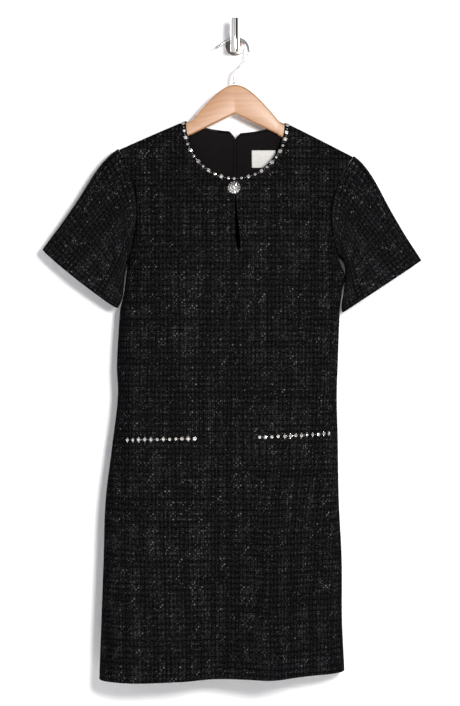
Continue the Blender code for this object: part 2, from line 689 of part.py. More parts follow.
def zip_slider_and_pull():
    """The slider stands on the back's outer face; the pull's crossbar lies under its crown."""
    x = section(SLIDER_CENTRE_Z, "centre")
    base_y = max(back_y(x + reach, SLIDER_CENTRE_Z + rise) for reach in (-0.004, 0.004)
                 for rise in (-0.006, 0.006)) + GAP
    face_y = base_y + SLIDER_THICKNESS
    pivot_y = face_y + CROWN_OPENING_HEIGHT / 2
    metal = chrome()
    plate = box("zip_slider", (x - SLIDER_WIDTH / 2, base_y, SLIDER_CENTRE_Z - SLIDER_HEIGHT / 2),
                (x + SLIDER_WIDTH / 2, face_y, SLIDER_CENTRE_Z + SLIDER_HEIGHT / 2), metal)
    inside, outside = CROWN_OPENING_HALF_LENGTH, CROWN_OPENING_HALF_LENGTH + CROWN_THICKNESS
    foot, under, top = face_y - 0.0006, face_y + CROWN_OPENING_HEIGHT, \
        face_y + CROWN_OPENING_HEIGHT + CROWN_THICKNESS
    outline = [(foot, -outside), (top - 0.0006, -outside), (top, -inside), (top, inside),
               (top - 0.0006, outside), (foot, outside), (foot, inside), (under, inside),
               (under, -inside), (foot, -inside)]
    crown = prism("crown_guide", [(y, SLIDER_CENTRE_Z + z) for y, z in outline],
                  x - CROWN_WIDTH / 2, x + CROWN_WIDTH / 2, "X", metal)
    combine(plate, crown, "UNION")

    half, bar = PULL_WIDTH / 2, PULL_THICKNESS / 2
    tip = bar - PULL_LENGTH
    tab_outline = [(-half + 0.0008, bar), (half - 0.0008, bar), (half, bar - 0.0008)]
    tab_outline += [(half * math.cos(a) * 0.8, tip + half * (1 - math.sin(a)))
                    for a in (math.radians(10 + 20 * k) for k in range(9))]
    tab_outline += [(-half, bar - 0.0008)]
    pull = prism("zip_pull", tab_outline, -PULL_THICKNESS / 2, PULL_THICKNESS / 2, "Y", metal)
    eye_outline = [(-PULL_EYE_WIDTH / 2, -bar), (PULL_EYE_WIDTH / 2, -bar),
                   (PULL_EYE_WIDTH / 2, -bar - PULL_EYE_LENGTH), (-PULL_EYE_WIDTH / 2, -bar - PULL_EYE_LENGTH)]
    eye = prism("eye_guide", eye_outline, -0.003, 0.003, "Y", metal)
    for piece in (pull, eye):
        piece.location = (x, pivot_y, SLIDER_CENTRE_Z)
    combine(pull, eye, "DIFFERENCE")


# ---------------------------------------------------------------- hanger and wall hook

def hanger_top(x):
    hump = HANGER_TOP - HUMP_SLOPE * (math.hypot(x, HUMP_SOFTNESS) - HUMP_SOFTNESS)
    return max(hump, shoulder_height(x) - ARM_CLEARANCE)


def hanger_bottom(x):
    if abs(x) < ARM_START:
        return HANGER_NOTCH - NOTCH_SLOPE * abs(x)
    return hanger_top(x) - ARM_HEIGHT


def hanger_section(x, height_share):
    """One rounded-edge section of the wood across X, its height shrunk about its middle at the tips."""
    top, bottom = hanger_top(x), hanger_bottom(x)
    middle, half_height = 0.5 * (top + bottom), 0.5 * (top - bottom) * height_share
    round_off = min(HANGER_EDGE_ROUND, half_height)
    ring = []
    for quarter, (face, end) in enumerate(((1, 1), (-1, 1), (-1, -1), (1, -1))):
        for step in range(3):
            turn = math.radians(90 * quarter + 45 * step)
            ring.append((x, HANG_Y + face * (HANGER_HALF_THICKNESS - HANGER_EDGE_ROUND)
                         + HANGER_EDGE_ROUND * math.cos(turn),
                         middle + end * (half_height - round_off) + round_off * math.sin(turn)))
    return ring


def hanger():
    """The wooden body, lofted along its span, with a drilled hole for the hook's shank."""
    stations = [HANGER_HALF_SPAN * (2 * k / HANGER_STATIONS - 1) for k in range(HANGER_STATIONS + 1)]
    sections = [(-HANGER_HALF_SPAN - ARM_END, TIP_SHARE)] + [(x, 1.0) for x in stations]
    sections += [(HANGER_HALF_SPAN + ARM_END, TIP_SHARE)]
    body = bmesh.new()
    rings = [[body.verts.new(place) for place in hanger_section(x, share)] for x, share in sections]
    for ring, following in zip(rings, rings[1:]):
        for k in range(len(ring)):
            after = (k + 1) % len(ring)
            body.faces.new((ring[k], ring[after], following[after], following[k]))
    body.faces.new(rings[0])
    body.faces.new(rings[-1])
    made = finish("hanger", body, wood())
    radius, above = WIRE_RADIUS + HOLE_CLEARANCE, 0.010
    bore = turned("bore_guide", [(0, -BORE_DEPTH), (radius, -BORE_DEPTH), (radius, above), (0, above)], 16, wood())
    bore.location = (WIRE_X, HANG_Y, HANGER_TOP)
    combine(made, bore, "DIFFERENCE")


def hanger_hook():
    """The bent wire, on a smooth curve through its route."""
    route = []
    for k in range(len(WIRE_ROUTE) - 1):
        around = [WIRE_ROUTE[min(max(k + step, 0), len(WIRE_ROUTE) - 1)] for step in (-1, 0, 1, 2)]
        for step in range(WIRE_STEPS):
            t = step / WIRE_STEPS
            route.append((catmull_rom(*(corner.x for corner in around), t), HANG_Y,
                          catmull_rom(*(corner.z for corner in around), t)))
    route.append((WIRE_ROUTE[-1].x, HANG_Y, WIRE_ROUTE[-1].z))
    curve = bpy.data.curves.new("hanger_hook", "CURVE")
    curve.dimensions = "3D"
    curve.bevel_depth = WIRE_RADIUS
    curve.bevel_resolution = 2
    curve.use_fill_caps = True
    spline = curve.splines.new("POLY")
    spline.points.add(len(route) - 1)
    for point, place in zip(spline.points, route):
        point.co = (*place, 1.0)
    curve.materials.append(chrome())
    bpy.context.scene.collection.objects.link(bpy.data.objects.new("hanger_hook", curve))


def wall_hook():
    """A round flange on the wall, and a stem that carries an upright bar."""
    flange = turned("wall_flange", [(0, 0), (FLANGE_RADIUS, 0), (FLANGE_RADIUS, FLANGE_THICKNESS - EDGE_ROUND),
                                    (FLANGE_RADIUS - EDGE_ROUND, FLANGE_THICKNESS), (0, FLANGE_THICKNESS)],
                    ROUND_SIDES, chrome())
    flange.rotation_euler = (math.radians(90), 0, 0)
    length = BAR_TOP - BAR_BOTTOM
    bar = turned("wall_bar", [(0, 0), (BAR_RADIUS - EDGE_ROUND, 0), (BAR_RADIUS, EDGE_ROUND),
                              (BAR_RADIUS, length - EDGE_ROUND), (BAR_RADIUS - EDGE_ROUND, length), (0, length)],
                 ROUND_SIDES, chrome())
    bar.location = (0, BAR_Y, BAR_BOTTOM)
    stem_length = abs(BAR_Y) - FLANGE_THICKNESS - GAP
    stem = turned("stem_guide", [(0, 0), (STEM_RADIUS, 0), (STEM_RADIUS, stem_length), (0, stem_length)],
                  28, chrome())
    stem.location = (0, -FLANGE_THICKNESS - GAP, 0)
    stem.rotation_euler = (math.radians(90), 0, 0)
    combine(bar, stem, "UNION")


# ---------------------------------------------------------------- the whole object

def build():
    for old in list(bpy.data.objects):
        bpy.data.objects.remove(old)
    panel("front", front_y, (LEFT, RIGHT), False)
    panel("back_left", back_y, (LEFT,), True)
    panel("back_right", back_y, (RIGHT,), True)
    for side, word in ((LEFT, "left"), (RIGHT, "right")):
        sleeve(f"sleeve_{word}", side)
        back_facing(f"back_facing_{word}", side)
        neck_trim(f"neck_trim_{word}", side)
        pocket_trim(f"pocket_trim_{word}", side)
    label()
    button()
    zip_tape()
    zip_slider_and_pull()
    hanger()
    hanger_hook()
    wall_hook()


build()
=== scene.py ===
import math
import random
from collections import namedtuple

import bmesh
import bpy
import numpy as np
from mathutils import Matrix, Vector


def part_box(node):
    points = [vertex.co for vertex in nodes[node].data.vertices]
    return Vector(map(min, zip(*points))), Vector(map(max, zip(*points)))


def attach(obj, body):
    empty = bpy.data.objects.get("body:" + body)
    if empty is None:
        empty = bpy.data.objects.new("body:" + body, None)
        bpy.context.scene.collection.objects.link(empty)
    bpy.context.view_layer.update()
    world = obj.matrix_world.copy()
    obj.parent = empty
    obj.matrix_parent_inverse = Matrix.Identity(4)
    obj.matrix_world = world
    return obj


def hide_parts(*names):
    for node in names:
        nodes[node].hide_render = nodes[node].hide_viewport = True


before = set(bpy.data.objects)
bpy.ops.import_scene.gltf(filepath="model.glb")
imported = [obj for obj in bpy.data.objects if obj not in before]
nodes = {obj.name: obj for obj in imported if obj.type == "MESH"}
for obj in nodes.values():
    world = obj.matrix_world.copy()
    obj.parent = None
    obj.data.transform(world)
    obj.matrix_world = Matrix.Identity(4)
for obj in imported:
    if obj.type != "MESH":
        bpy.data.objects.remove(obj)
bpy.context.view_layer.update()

rng = random.Random(11)

# ---------------------------------------------------------------- the dress's own sizes

WALL = 0.002
GAP = 0.0003
HANG_Y = -0.040
LEFT, RIGHT = -1, 1
Corner = namedtuple("Corner", "x z")
NECK_POINT = {LEFT: Corner(-0.0805, -0.1270), RIGHT: Corner(0.0820, -0.1300)}
SHOULDER_POINT = {LEFT: Corner(-0.1887, -0.1740), RIGHT: Corner(0.1920, -0.1855)}
UNDERARM = {LEFT: Corner(-0.1757, -0.3560), RIGHT: Corner(0.1690, -0.3470)}
CUFF_OUTER = {LEFT: Corner(-0.3108, -0.3368), RIGHT: Corner(0.3010, -0.3547)}
CUFF_INNER = {LEFT: Corner(-0.1925, -0.4295), RIGHT: Corner(0.1765, -0.4372)}
HEM_HEIGHT = {LEFT: -1.0310, RIGHT: -1.0200}
FRONT_NECK_BOTTOM = -0.2205
BACK_NECK_DROP = 0.0165
NOTCH_WIDTH = 0.0095
NOTCH_DEPTH = 0.0095
CROSS_FRONT_INSET = 0.024
SHOULDER_ROUND = 0.010
SWELL_DROP = 0.120
ROOF_SOFTNESS = 0.040

Section = namedtuple("Section", "z centre left right front_swell back_swell y_left y_right")
BODY = (
    Section(-0.100, 0.000, -0.330, 0.330, 0.050, 0.012, HANG_Y, HANG_Y),
    Section(-0.180, 0.000, -0.300, 0.300, 0.052, 0.013, HANG_Y, HANG_Y),
    Section(-0.240, 0.000, -0.213, 0.208, 0.056, 0.014, HANG_Y, HANG_Y),
    Section(-0.300, 0.003, -0.184, 0.180, 0.058, 0.015, -0.041, HANG_Y),
    Section(-0.350, 0.006, -0.1757, 0.1690, 0.059, 0.016, -0.042, HANG_Y),
    Section(-0.378, 0.0035, -0.1770, 0.1790, 0.060, 0.016, -0.042, HANG_Y),
    Section(-0.405, 0.000, -0.1805, 0.1745, 0.058, 0.015, -0.043, HANG_Y),
    Section(-0.434, 0.000, -0.1870, 0.1708, 0.055, 0.014, -0.044, -0.039),
    Section(-0.524, -0.004, -0.1920, 0.1676, 0.050, 0.010, -0.047, -0.038),
    Section(-0.573, -0.007, -0.1904, 0.1660, 0.050, 0.010, -0.048, -0.038),
    Section(-0.646, -0.0105, -0.1985, 0.1676, 0.055, 0.013, -0.051, -0.037),
    Section(-0.743, -0.013, -0.2099, 0.1692, 0.060, 0.015, -0.054, -0.037),
    Section(-0.841, -0.015, -0.2131, 0.1740, 0.066, 0.017, -0.057, -0.036),
    Section(-0.939, -0.016, -0.2164, 0.1745, 0.070, 0.019, -0.060, -0.036),
    Section(-1.040, -0.0175, -0.2198, 0.1790, 0.074, 0.020, -0.062, -0.036),
)
Slit = namedtuple("Slit", "z half_width")
KEYHOLE = (
    Slit(-0.3405, 0.0000),
    Slit(-0.3375, 0.0022),
    Slit(-0.3330, 0.0034),
    Slit(-0.3200, 0.0040),
    Slit(-0.3000, 0.0034),
    Slit(-0.2780, 0.0024),
    Slit(-0.2540, 0.0013),
    Slit(-0.2370, 0.0003),
    Slit(FRONT_NECK_BOTTOM, 0.0003),
)
Fold = namedtuple("Fold", "x_top z_top x_hem width rise")
FRONT_FOLDS = (
    Fold(0.048, -0.480, 0.062, 0.030, 0.020),
    Fold(-0.006, -0.430, -0.032, 0.040, -0.028),
    Fold(-0.150, -0.600, -0.168, 0.040, 0.010),
    Fold(0.125, -0.560, 0.128, 0.028, -0.009),
)
BACK_FOLDS = (
    Fold(-0.080, -0.520, -0.100, 0.035, 0.007),
    Fold(-0.020, -0.600, -0.030, 0.030, -0.008),
    Fold(0.060, -0.560, 0.070, 0.032, 0.006),
)
FOLD_END = -1.030

# Smaller creases: a soft trough (negative rise) or ridge. lean turns its line from upright, in degrees.
Crease = namedtuple("Crease", "x z length width lean rise")
FRONT_CREASES = (
    Crease(0.0325, -0.800, 0.240, 0.0100, 3, -0.0080),
    Crease(0.0120, -0.820, 0.230, 0.0150, 3, -0.0050),
    Crease(0.0640, -0.700, 0.210, 0.0130, 4, 0.0050),
    Crease(0.0890, -0.600, 0.130, 0.0120, 3, 0.0036),
    Crease(-0.0640, -0.480, 0.090, 0.0085, -2, -0.0050),
    Crease(-0.0840, -0.470, 0.080, 0.0100, -2, 0.0026),
    Crease(-0.1000, -0.790, 0.170, 0.0180, 2, -0.0045),
    Crease(-0.0560, -0.800, 0.160, 0.0160, 2, 0.0036),
    Crease(-0.0200, -0.560, 0.130, 0.0110, -3, -0.0032),
    Crease(0.1080, -0.500, 0.090, 0.0100, -6, -0.0030),
    Crease(0.1300, -0.820, 0.150, 0.0150, 2, -0.0030),
    Crease(-0.1450, -0.900, 0.120, 0.0150, -3, -0.0026),
    Crease(-0.1400, -0.330, 0.050, 0.0090, 38, -0.0030),
    Crease(-0.1180, -0.368, 0.060, 0.0100, 46, 0.0022),
    Crease(0.1390, -0.318, 0.048, 0.0080, -52, -0.0034),
    Crease(0.1220, -0.342, 0.060, 0.0090, -60, 0.0024),
    Crease(0.1320, -0.372, 0.052, 0.0090, -70, -0.0026),
    Crease(-0.0900, -0.225, 0.055, 0.0120, -28, -0.0018),
    Crease(0.0920, -0.232, 0.055, 0.0120, 26, -0.0018),
    Crease(0.0120, -0.385, 0.060, 0.0100, 3, -0.0020),
    Crease(-0.1400, -0.480, 0.050, 0.0100, 62, -0.0020),
    Crease(0.1360, -0.465, 0.045, 0.0090, -66, 0.0018),
    Crease(-0.1600, -0.690, 0.060, 0.0120, 70, 0.0016),
)
BACK_CREASES = (
    Crease(-0.060, -0.500, 0.140, 0.012, 3, -0.0030),
    Crease(0.070, -0.540, 0.160, 0.012, -3, -0.0032),
    Crease(-0.110, -0.760, 0.120, 0.014, -4, 0.0026),
    Crease(0.110, -0.800, 0.110, 0.013, 5, 0.0024),
    Crease(-0.132, -0.320, 0.055, 0.009, 42, -0.0028),
    Crease(0.128, -0.330, 0.055, 0.009, -44, -0.0028),
    Crease(-0.110, -0.360, 0.060, 0.010, 52, 0.0018),
    Crease(0.104, -0.372, 0.060, 0.010, -50, 0.0018),
    Crease(0.030, -0.900, 0.130, 0.014, 3, -0.0028),
    Crease(-0.040, -0.850, 0.150, 0.013, -2, 0.0024),
    Crease(-0.075, -0.220, 0.055, 0.012, -24, -0.0016),
    Crease(0.080, -0.228, 0.055, 0.012, 22, -0.0016),
)
# On a sleeve: way runs from the armhole (0) to the cuff (1), turn round it from the top line, in degrees.
SleeveCrease = namedtuple("SleeveCrease", "way turn length width rise")
SLEEVE_CREASES = {
    LEFT: (
        SleeveCrease(0.16, -62, 0.20, 11, -0.0040),
        SleeveCrease(0.30, -84, 0.26, 10, 0.0026),
        SleeveCrease(0.42, -112, 0.28, 10, -0.0034),
        SleeveCrease(0.70, -46, 0.26, 12, -0.0022),
        SleeveCrease(0.78, -128, 0.22, 11, 0.0024),
        SleeveCrease(0.20, 58, 0.22, 12, -0.0036),
        SleeveCrease(0.46, 102, 0.30, 11, -0.0030),
        SleeveCrease(0.74, 74, 0.26, 12, 0.0022),
    ),
    RIGHT: (
        SleeveCrease(0.20, -54, 0.22, 11, -0.0034),
        SleeveCrease(0.24, -98, 0.24, 10, -0.0040),
        SleeveCrease(0.44, -74, 0.30, 11, 0.0026),
        SleeveCrease(0.62, -120, 0.26, 10, -0.0030),
        SleeveCrease(0.84, -60, 0.22, 12, -0.0020),
        SleeveCrease(0.22, 64, 0.22, 12, -0.0034),
        SleeveCrease(0.50, 96, 0.28, 11, 0.0024),
        SleeveCrease(0.76, 118, 0.24, 11, -0.0026),
    ),
}

COLUMN = {name: np.array([getattr(entry, name) for entry in BODY]) for name in Section._fields}


# ---------------------------------------------------------------- the cloth's surfaces

def catmull_rom(before, start, end, after, t):
    return 0.5 * (2 * start + (end - before) * t + (2 * before - 5 * start + 4 * end - after) * t ** 2
                  + (3 * start - before - 3 * end + after) * t ** 3)


def section(z, column):
    """A column of BODY at heights z, on a smooth curve through its rows."""
    heights, values = COLUMN["z"], COLUMN[column]
    last = len(heights) - 1
    row = np.clip(np.searchsorted(-heights, -np.asarray(z, float)) - 1, 0, last - 1)
    t = (z - heights[row]) / (heights[row + 1] - heights[row])
    return catmull_rom(values[np.maximum(row - 1, 0)], values[row], values[row + 1],
                       values[np.minimum(row + 2, last)], t)


def smoothstep(value):
    value = np.clip(value, 0.0, 1.0)
    return value * value * (3.0 - 2.0 * value)


def side_roof(side, x):
    shoulder, neck = SHOULDER_POINT[side], NECK_POINT[side]
    reach, neck_reach = math.hypot(shoulder.x, ROOF_SOFTNESS), math.hypot(neck.x, ROOF_SOFTNESS)
    slope = (neck.z - shoulder.z) / (reach - neck_reach)
    return shoulder.z + slope * (reach - np.hypot(x, ROOF_SOFTNESS))


def shoulder_height(x):
    mix = smoothstep(0.5 + x / (2 * ROOF_SOFTNESS))
    return (1 - mix) * side_roof(LEFT, x) + mix * side_roof(RIGHT, x)


def across(x, z):
    centre = section(z, "centre")
    edge = np.where(x < centre, section(z, "left"), section(z, "right"))
    return (x - centre) / np.abs(edge - centre)


def middle_y(x, z):
    share = 0.5 + 0.5 * np.clip(across(x, z), -1.0, 1.0)
    return (1 - share) * section(z, "y_left") + share * section(z, "y_right")


def fold_rise(folds, x, z):
    rise = 0.0
    for fold in folds:
        growth = (fold.z_top - z) / (fold.z_top - FOLD_END)
        x_here = fold.x_top + (fold.x_hem - fold.x_top) * growth
        rise = rise + fold.rise * smoothstep(growth) * np.exp(-((x - x_here) / fold.width) ** 2)
    return rise


def crease_rise(creases, x, z):
    rise = 0.0
    for crease in creases:
        lean = math.radians(crease.lean)
        along = (x - crease.x) * math.sin(lean) + (z - crease.z) * math.cos(lean)
        aside = (x - crease.x) * math.cos(lean) - (z - crease.z) * math.sin(lean)
        aside = aside + 0.004 * np.sin(along / 0.023 + 40 * crease.x)
        rise = rise + crease.rise * np.exp(-(along / crease.length) ** 2 - (aside / crease.width) ** 2)
    return rise


def unevenness(x, z):
    """Slow, slight waviness of a stiff cloth."""
    slow = np.sin(x * 71 + z * 19) + np.sin(x * 33 - z * 47 + 1.3)
    return 0.0005 * (slow + 0.6 * np.sin(x * 120 + z * 88 + 2.1))


def depth(x, z, swell_column, folds, creases):
    drop = np.maximum(shoulder_height(x) - z, 0.0)
    from_side = np.minimum(np.abs(across(x, z)), 1.0)
    turn = SHOULDER_ROUND - np.minimum(drop, SHOULDER_ROUND)
    over_arm = np.sqrt(SHOULDER_ROUND ** 2 - turn ** 2)
    swell = section(z, swell_column) * drop ** 2 / (drop ** 2 + SWELL_DROP ** 2)
    free = (1 - from_side ** 6) * smoothstep(drop / 0.030)
    return (over_arm * np.sqrt(1 - from_side ** 8) + swell * np.sqrt(1 - from_side ** 2.6)
            + fold_rise(folds, x, z) * (1 - from_side ** 6)
            + (crease_rise(creases, x, z) + unevenness(x, z)) * free)


def front_y(x, z):
    return middle_y(x, z) - GAP / 2 - depth(x, z, "front_swell", FRONT_FOLDS, FRONT_CREASES)


def back_y(x, z):
    return middle_y(x, z) + GAP / 2 + depth(x, z, "back_swell", BACK_FOLDS, BACK_CREASES)


def outward_normal(surface_y, x, z, outward):
    step = 0.001
    slope_x = (surface_y(x + step, z) - surface_y(x - step, z)) / (2 * step)
    slope_z = (surface_y(x, z + step) - surface_y(x, z - step)) / (2 * step)
    return Vector((-float(slope_x), 1.0, -float(slope_z))).normalized() * outward


def on_front(x, z, lift=0.0):
    """A point on the front, or lifted off it, and the cloth's normal there."""
    normal = outward_normal(front_y, x, z, -1)
    return Vector((x, float(front_y(x, z)), z)) + normal * lift, normal


def on_back(x, z, depth_in):
    """A point inside the back, depth_in from its outer face, and the outward normal there."""
    normal = outward_normal(back_y, x, z, 1)
    return Vector((x, float(back_y(x, z)), z)) - normal * depth_in, normal


# ---------------------------------------------------------------- panel outlines

def armhole_x(side, z):
    shoulder, underarm = SHOULDER_POINT[side], UNDERARM[side]
    fraction = (shoulder.z - z) / (shoulder.z - underarm.z)
    line = shoulder.x + (underarm.x - shoulder.x) * fraction
    return line - side * CROSS_FRONT_INSET * math.sin(math.pi * min(max(fraction, 0.0), 1.0))


def back_neck_height(side, x):
    neck = NECK_POINT[side]
    notch = NOTCH_DEPTH * max(0.0, 1 - abs(x) / NOTCH_WIDTH)
    return neck.z - BACK_NECK_DROP * (1 - (x / neck.x) ** 2) - notch


def slit_half_width(z):
    return float(np.interp(z, [entry.z for entry in KEYHOLE], [entry.half_width for entry in KEYHOLE]))


LOWER_ROWS, MIDDLE_ROWS, UPPER_ROWS = 150, 32, 46
ARM_SPAN = 0.061
SEAM_CROWDING = 2.4
Row = namedtuple("Row", "outer inner on_side_seam open_centre roundness roof_share")


def half_rows(side, is_back):
    """The rows of half a panel, hem first, each from the outer edge to the inner edge, as (x, z)."""
    shoulder, underarm, neck = SHOULDER_POINT[side], UNDERARM[side], NECK_POINT[side]
    slit_bottom = KEYHOLE[0].z
    hem_centre = 0.5 * (HEM_HEIGHT[LEFT] + HEM_HEIGHT[RIGHT])
    seam_column = "left" if side == LEFT else "right"
    cut = side * GAP / 2
    rows = []

    def centre_corner(z):
        half_width = GAP / 2 if is_back else slit_half_width(z)
        open_width = half_width if half_width >= GAP / 2 else 0.0
        return Corner(float(section(z, "centre")) + side * open_width, z), open_width > 0

    def arm_corner(z):
        return Corner(armhole_x(side, z) - cut, z)

    edge_rises = [0.0, 0.0012, 0.0035]
    rises = edge_rises + [k / LOWER_ROWS for k in range(1, LOWER_ROWS + 1)]
    for rise in rises:
        z_outer = HEM_HEIGHT[side] + (underarm.z - HEM_HEIGHT[side]) * rise
        z_inner = hem_centre + (slit_bottom - hem_centre) * rise
        x_outer = float(section(z_outer, seam_column)) if rise < 1 else underarm.x
        inner, is_open = centre_corner(z_inner)
        rows.append(Row(Corner(x_outer, z_outer), inner, True, is_open, 1.0, 0.0))

    neck_row_arm = shoulder.z - ARM_SPAN
    steps = len(KEYHOLE) - 1
    for k in range(1, MIDDLE_ROWS + 1):
        rise = k / MIDDLE_ROWS
        z_outer = underarm.z + (neck_row_arm - underarm.z) * rise
        z_inner = float(np.interp(rise * steps, range(steps + 1), [entry.z for entry in KEYHOLE]))
        if is_back:
            z_inner = slit_bottom + (back_neck_height(side, 0.0) - slit_bottom) * rise
        inner, _ = centre_corner(z_inner)
        roundness = max(0.0, 1 - 2.5 * rise)
        rows.append(Row(arm_corner(z_outer), inner, False, True, roundness, 0.0))

    even = [math.sin(0.5 * math.pi * (1 - k / UPPER_ROWS)) ** SEAM_CROWDING for k in range(1, UPPER_ROWS + 1)]
    notch = math.sqrt(1 - (NOTCH_WIDTH / abs(NECK_POINT[LEFT].x)) ** 2)
    for fraction in sorted(even + [notch], reverse=True):
        x_inner = neck.x * math.sqrt(1 - fraction ** 2)
        if is_back:
            inner = Corner(x_inner, back_neck_height(side, x_inner))
        else:
            inner = Corner(x_inner, neck.z + (FRONT_NECK_BOTTOM - neck.z) * fraction)
        rows.append(Row(arm_corner(shoulder.z - ARM_SPAN * fraction), inner, False, True, 0.0, 1 - fraction))
    return rows


# ---------------------------------------------------------------- meshes

def add_object(name, mesh):
    made = bpy.data.objects.new(name, mesh)
    bpy.context.scene.collection.objects.link(made)
    return made


def thick_sheet(name, points, faces, uvs, thickness, butts, its_material):
    """A sheet thickened inwards into a closed wall, cut square where it meets a piece, rounded elsewhere."""
    points = np.array(points)
    sheet = bmesh.new()
    outer = [sheet.verts.new(point) for point in points]
    outer_faces = [sheet.faces.new([outer[index] for index in face]) for face in faces]
    sheet.normal_update()
    number = {vertex: index for index, vertex in enumerate(outer)}
    rims, outwards = [], {}
    for face in outer_faces:
        for loop in face.loops:
            if loop.edge.is_boundary:
                start, end = loop.vert, loop.link_loop_next.vert
                rims.append((number[start], number[end]))
                away = (end.co - start.co).cross(face.normal)
                for vertex in (start, end):
                    outwards[number[vertex]] = outwards.get(number[vertex], Vector()) + away
    inner = []
    for index, vertex in enumerate(outer):
        step = -thickness * vertex.normal
        for direction in butts.get(index, ()):
            step -= direction * max(0.0, step.dot(direction))
        inner.append(vertex.co + step.normalized() * thickness)
    inner = [sheet.verts.new(point) for point in inner]
    middle = {}
    for index, away in outwards.items():
        bulge = 0.0 if butts.get(index) else 0.42 * thickness
        place = 0.5 * (outer[index].co + inner[index].co) + away.normalized() * bulge
        middle[index] = sheet.verts.new(place)
    for face in faces:
        sheet.faces.new([inner[index] for index in reversed(face)])
    for start, end in rims:
        sheet.faces.new((outer[end], outer[start], middle[start], middle[end]))
        sheet.faces.new((middle[end], middle[start], inner[start], inner[end]))
    layer = sheet.loops.layers.uv.new("cloth")
    place_of = {vertex: uvs[index] for index, vertex in enumerate(outer)}
    place_of.update({vertex: uvs[index] for index, vertex in enumerate(inner)})
    place_of.update({vertex: uvs[index] for index, vertex in middle.items()})
    for face in sheet.faces:
        face.smooth = True
        for loop in face.loops:
            loop[layer].uv = place_of[loop.vert]
    bmesh.ops.recalc_face_normals(sheet, faces=sheet.faces)
    mesh = bpy.data.meshes.new(name)
    sheet.to_mesh(mesh)
    sheet.free()
    mesh.materials.append(its_material)
    return add_object(name, mesh)


def cloth_u(surface_y, x, z, origin_x):
    """Distance along the cloth from origin_x to x at height z."""
    steps = np.linspace(0, 1, 33)[:, None]
    xs = origin_x + (x - origin_x) * steps
    ys = surface_y(xs, z[None, :] + 0 * xs)
    lengths = np.hypot(np.diff(xs, axis=0), np.diff(ys, axis=0)).sum(axis=0)
    return np.sign(x - origin_x) * lengths


SEAM_DIP, SEAM_REACH = 0.0010, 0.0026       # grooves along the panels' seams
SHOULDER_SEAM_REACH, ARM_SEAM_REACH, UNDERARM_SEAM_REACH = 0.0020, 0.0022, 0.0030
SEAM_FADE = 0.2                             # share of the shoulder over which the groove fades out
SLOPE_STEP, STEEPEST = 0.0008, 6
EDGE_SHARES = [0.0, 0.0045, 0.011, 0.020, 0.034]


def panel(name, surface_y, sides, is_back, its_material):
    """A front or back panel, with a shallow groove along its seams."""
    columns = 44
    far_edge = [1 - share for share in reversed(EDGE_SHARES)]
    shares = np.array(EDGE_SHARES + list(np.linspace(0.055, 0.945, columns)) + far_edge)
    last_column = len(shares) - 1
    points, index_of, faces, butts = [], {}, [], {}
    towards_other = Vector((0, -1 if is_back else 1, 0))
    outward = 1 if is_back else -1
    for side in sides:
        rows = half_rows(side, is_back)
        last_row = len(rows) - 1
        outwards = Vector((side, 0, 0))
        for r, row in enumerate(rows):
            crowded = 1 - np.cos(0.5 * np.pi * shares)
            place = row.roundness * crowded + (1 - row.roundness) * shares
            x = row.outer.x + (row.inner.x - row.outer.x) * place
            z = row.outer.z + (row.inner.z - row.outer.z) * place
            ends = shoulder_height(row.outer.x), shoulder_height(row.inner.x)
            z = z + row.roof_share * (shoulder_height(x) - (ends[0] + (ends[1] - ends[0]) * place))
            y = surface_y(x, z)
            middle = middle_y(x, z) - towards_other.y * GAP / 2
            if r == last_row:
                y = middle
            elif row.on_side_seam:
                y[0] = middle[0]
            run = np.concatenate([[0], np.cumsum(np.hypot(np.diff(x), np.diff(y)))])
            dip = SEAM_DIP * np.exp(-(run / SEAM_REACH) ** 2)
            if is_back and row.roof_share == 0:
                dip = dip + SEAM_DIP * np.exp(-((run[-1] - run) / SEAM_REACH) ** 2)
            drop = np.maximum(shoulder_height(x) - z, 0)
            if row.roof_share > 0:
                dip = dip + SEAM_DIP * np.exp(-(drop / SHOULDER_SEAM_REACH) ** 2)
                dip = dip * smoothstep((1 - row.roof_share) / SEAM_FADE)
            slope_x = (surface_y(x + SLOPE_STEP, z) - surface_y(x - SLOPE_STEP, z)) / (2 * SLOPE_STEP)
            slope_x = np.clip(slope_x, -STEEPEST, STEEPEST)
            length = np.sqrt(1 + slope_x ** 2)
            x_out = x - dip * outward * (-slope_x / length)
            y_out = y - dip * outward / length
            if r == last_row or row.on_side_seam:
                y_out = np.minimum(y_out, middle) if outward < 0 else np.maximum(y_out, middle)
            for c in range(last_column + 1):
                shared = c == last_column and not row.open_centre
                key = (r, 0 if shared else side, c)
                if key in index_of:
                    continue
                index_of[key] = len(points)
                if c == 0 and row.on_side_seam:
                    y_here = middle[0]
                else:
                    y_here = y_out[c]
                points.append((x_out[c], y_here, z[c]))
                directions = []
                if (c == 0 and row.on_side_seam) or r == last_row:
                    directions.append(towards_other)
                if c == 0 and not row.on_side_seam:
                    directions.append(outwards)
                if c == last_column and row.open_centre and is_back and row.roof_share == 0:
                    directions.append(-outwards)
                if directions:
                    butts[index_of[key]] = directions

        def at(r, c):
            shared = c == last_column and not rows[r].open_centre
            return index_of[(r, 0 if shared else side, c)]

        for r in range(last_row):
            for c in range(last_column):
                face = (at(r, c), at(r, c + 1), at(r + 1, c + 1), at(r + 1, c))
                face = tuple(dict.fromkeys(face))
                faces.append(face if (side == LEFT) != is_back else tuple(reversed(face)))
    places = np.array(points)
    u = cloth_u(surface_y, places[:, 0], places[:, 2], 0.0)
    return thick_sheet(name, points, faces, list(zip(u, places[:, 2])), WALL, butts, its_material)


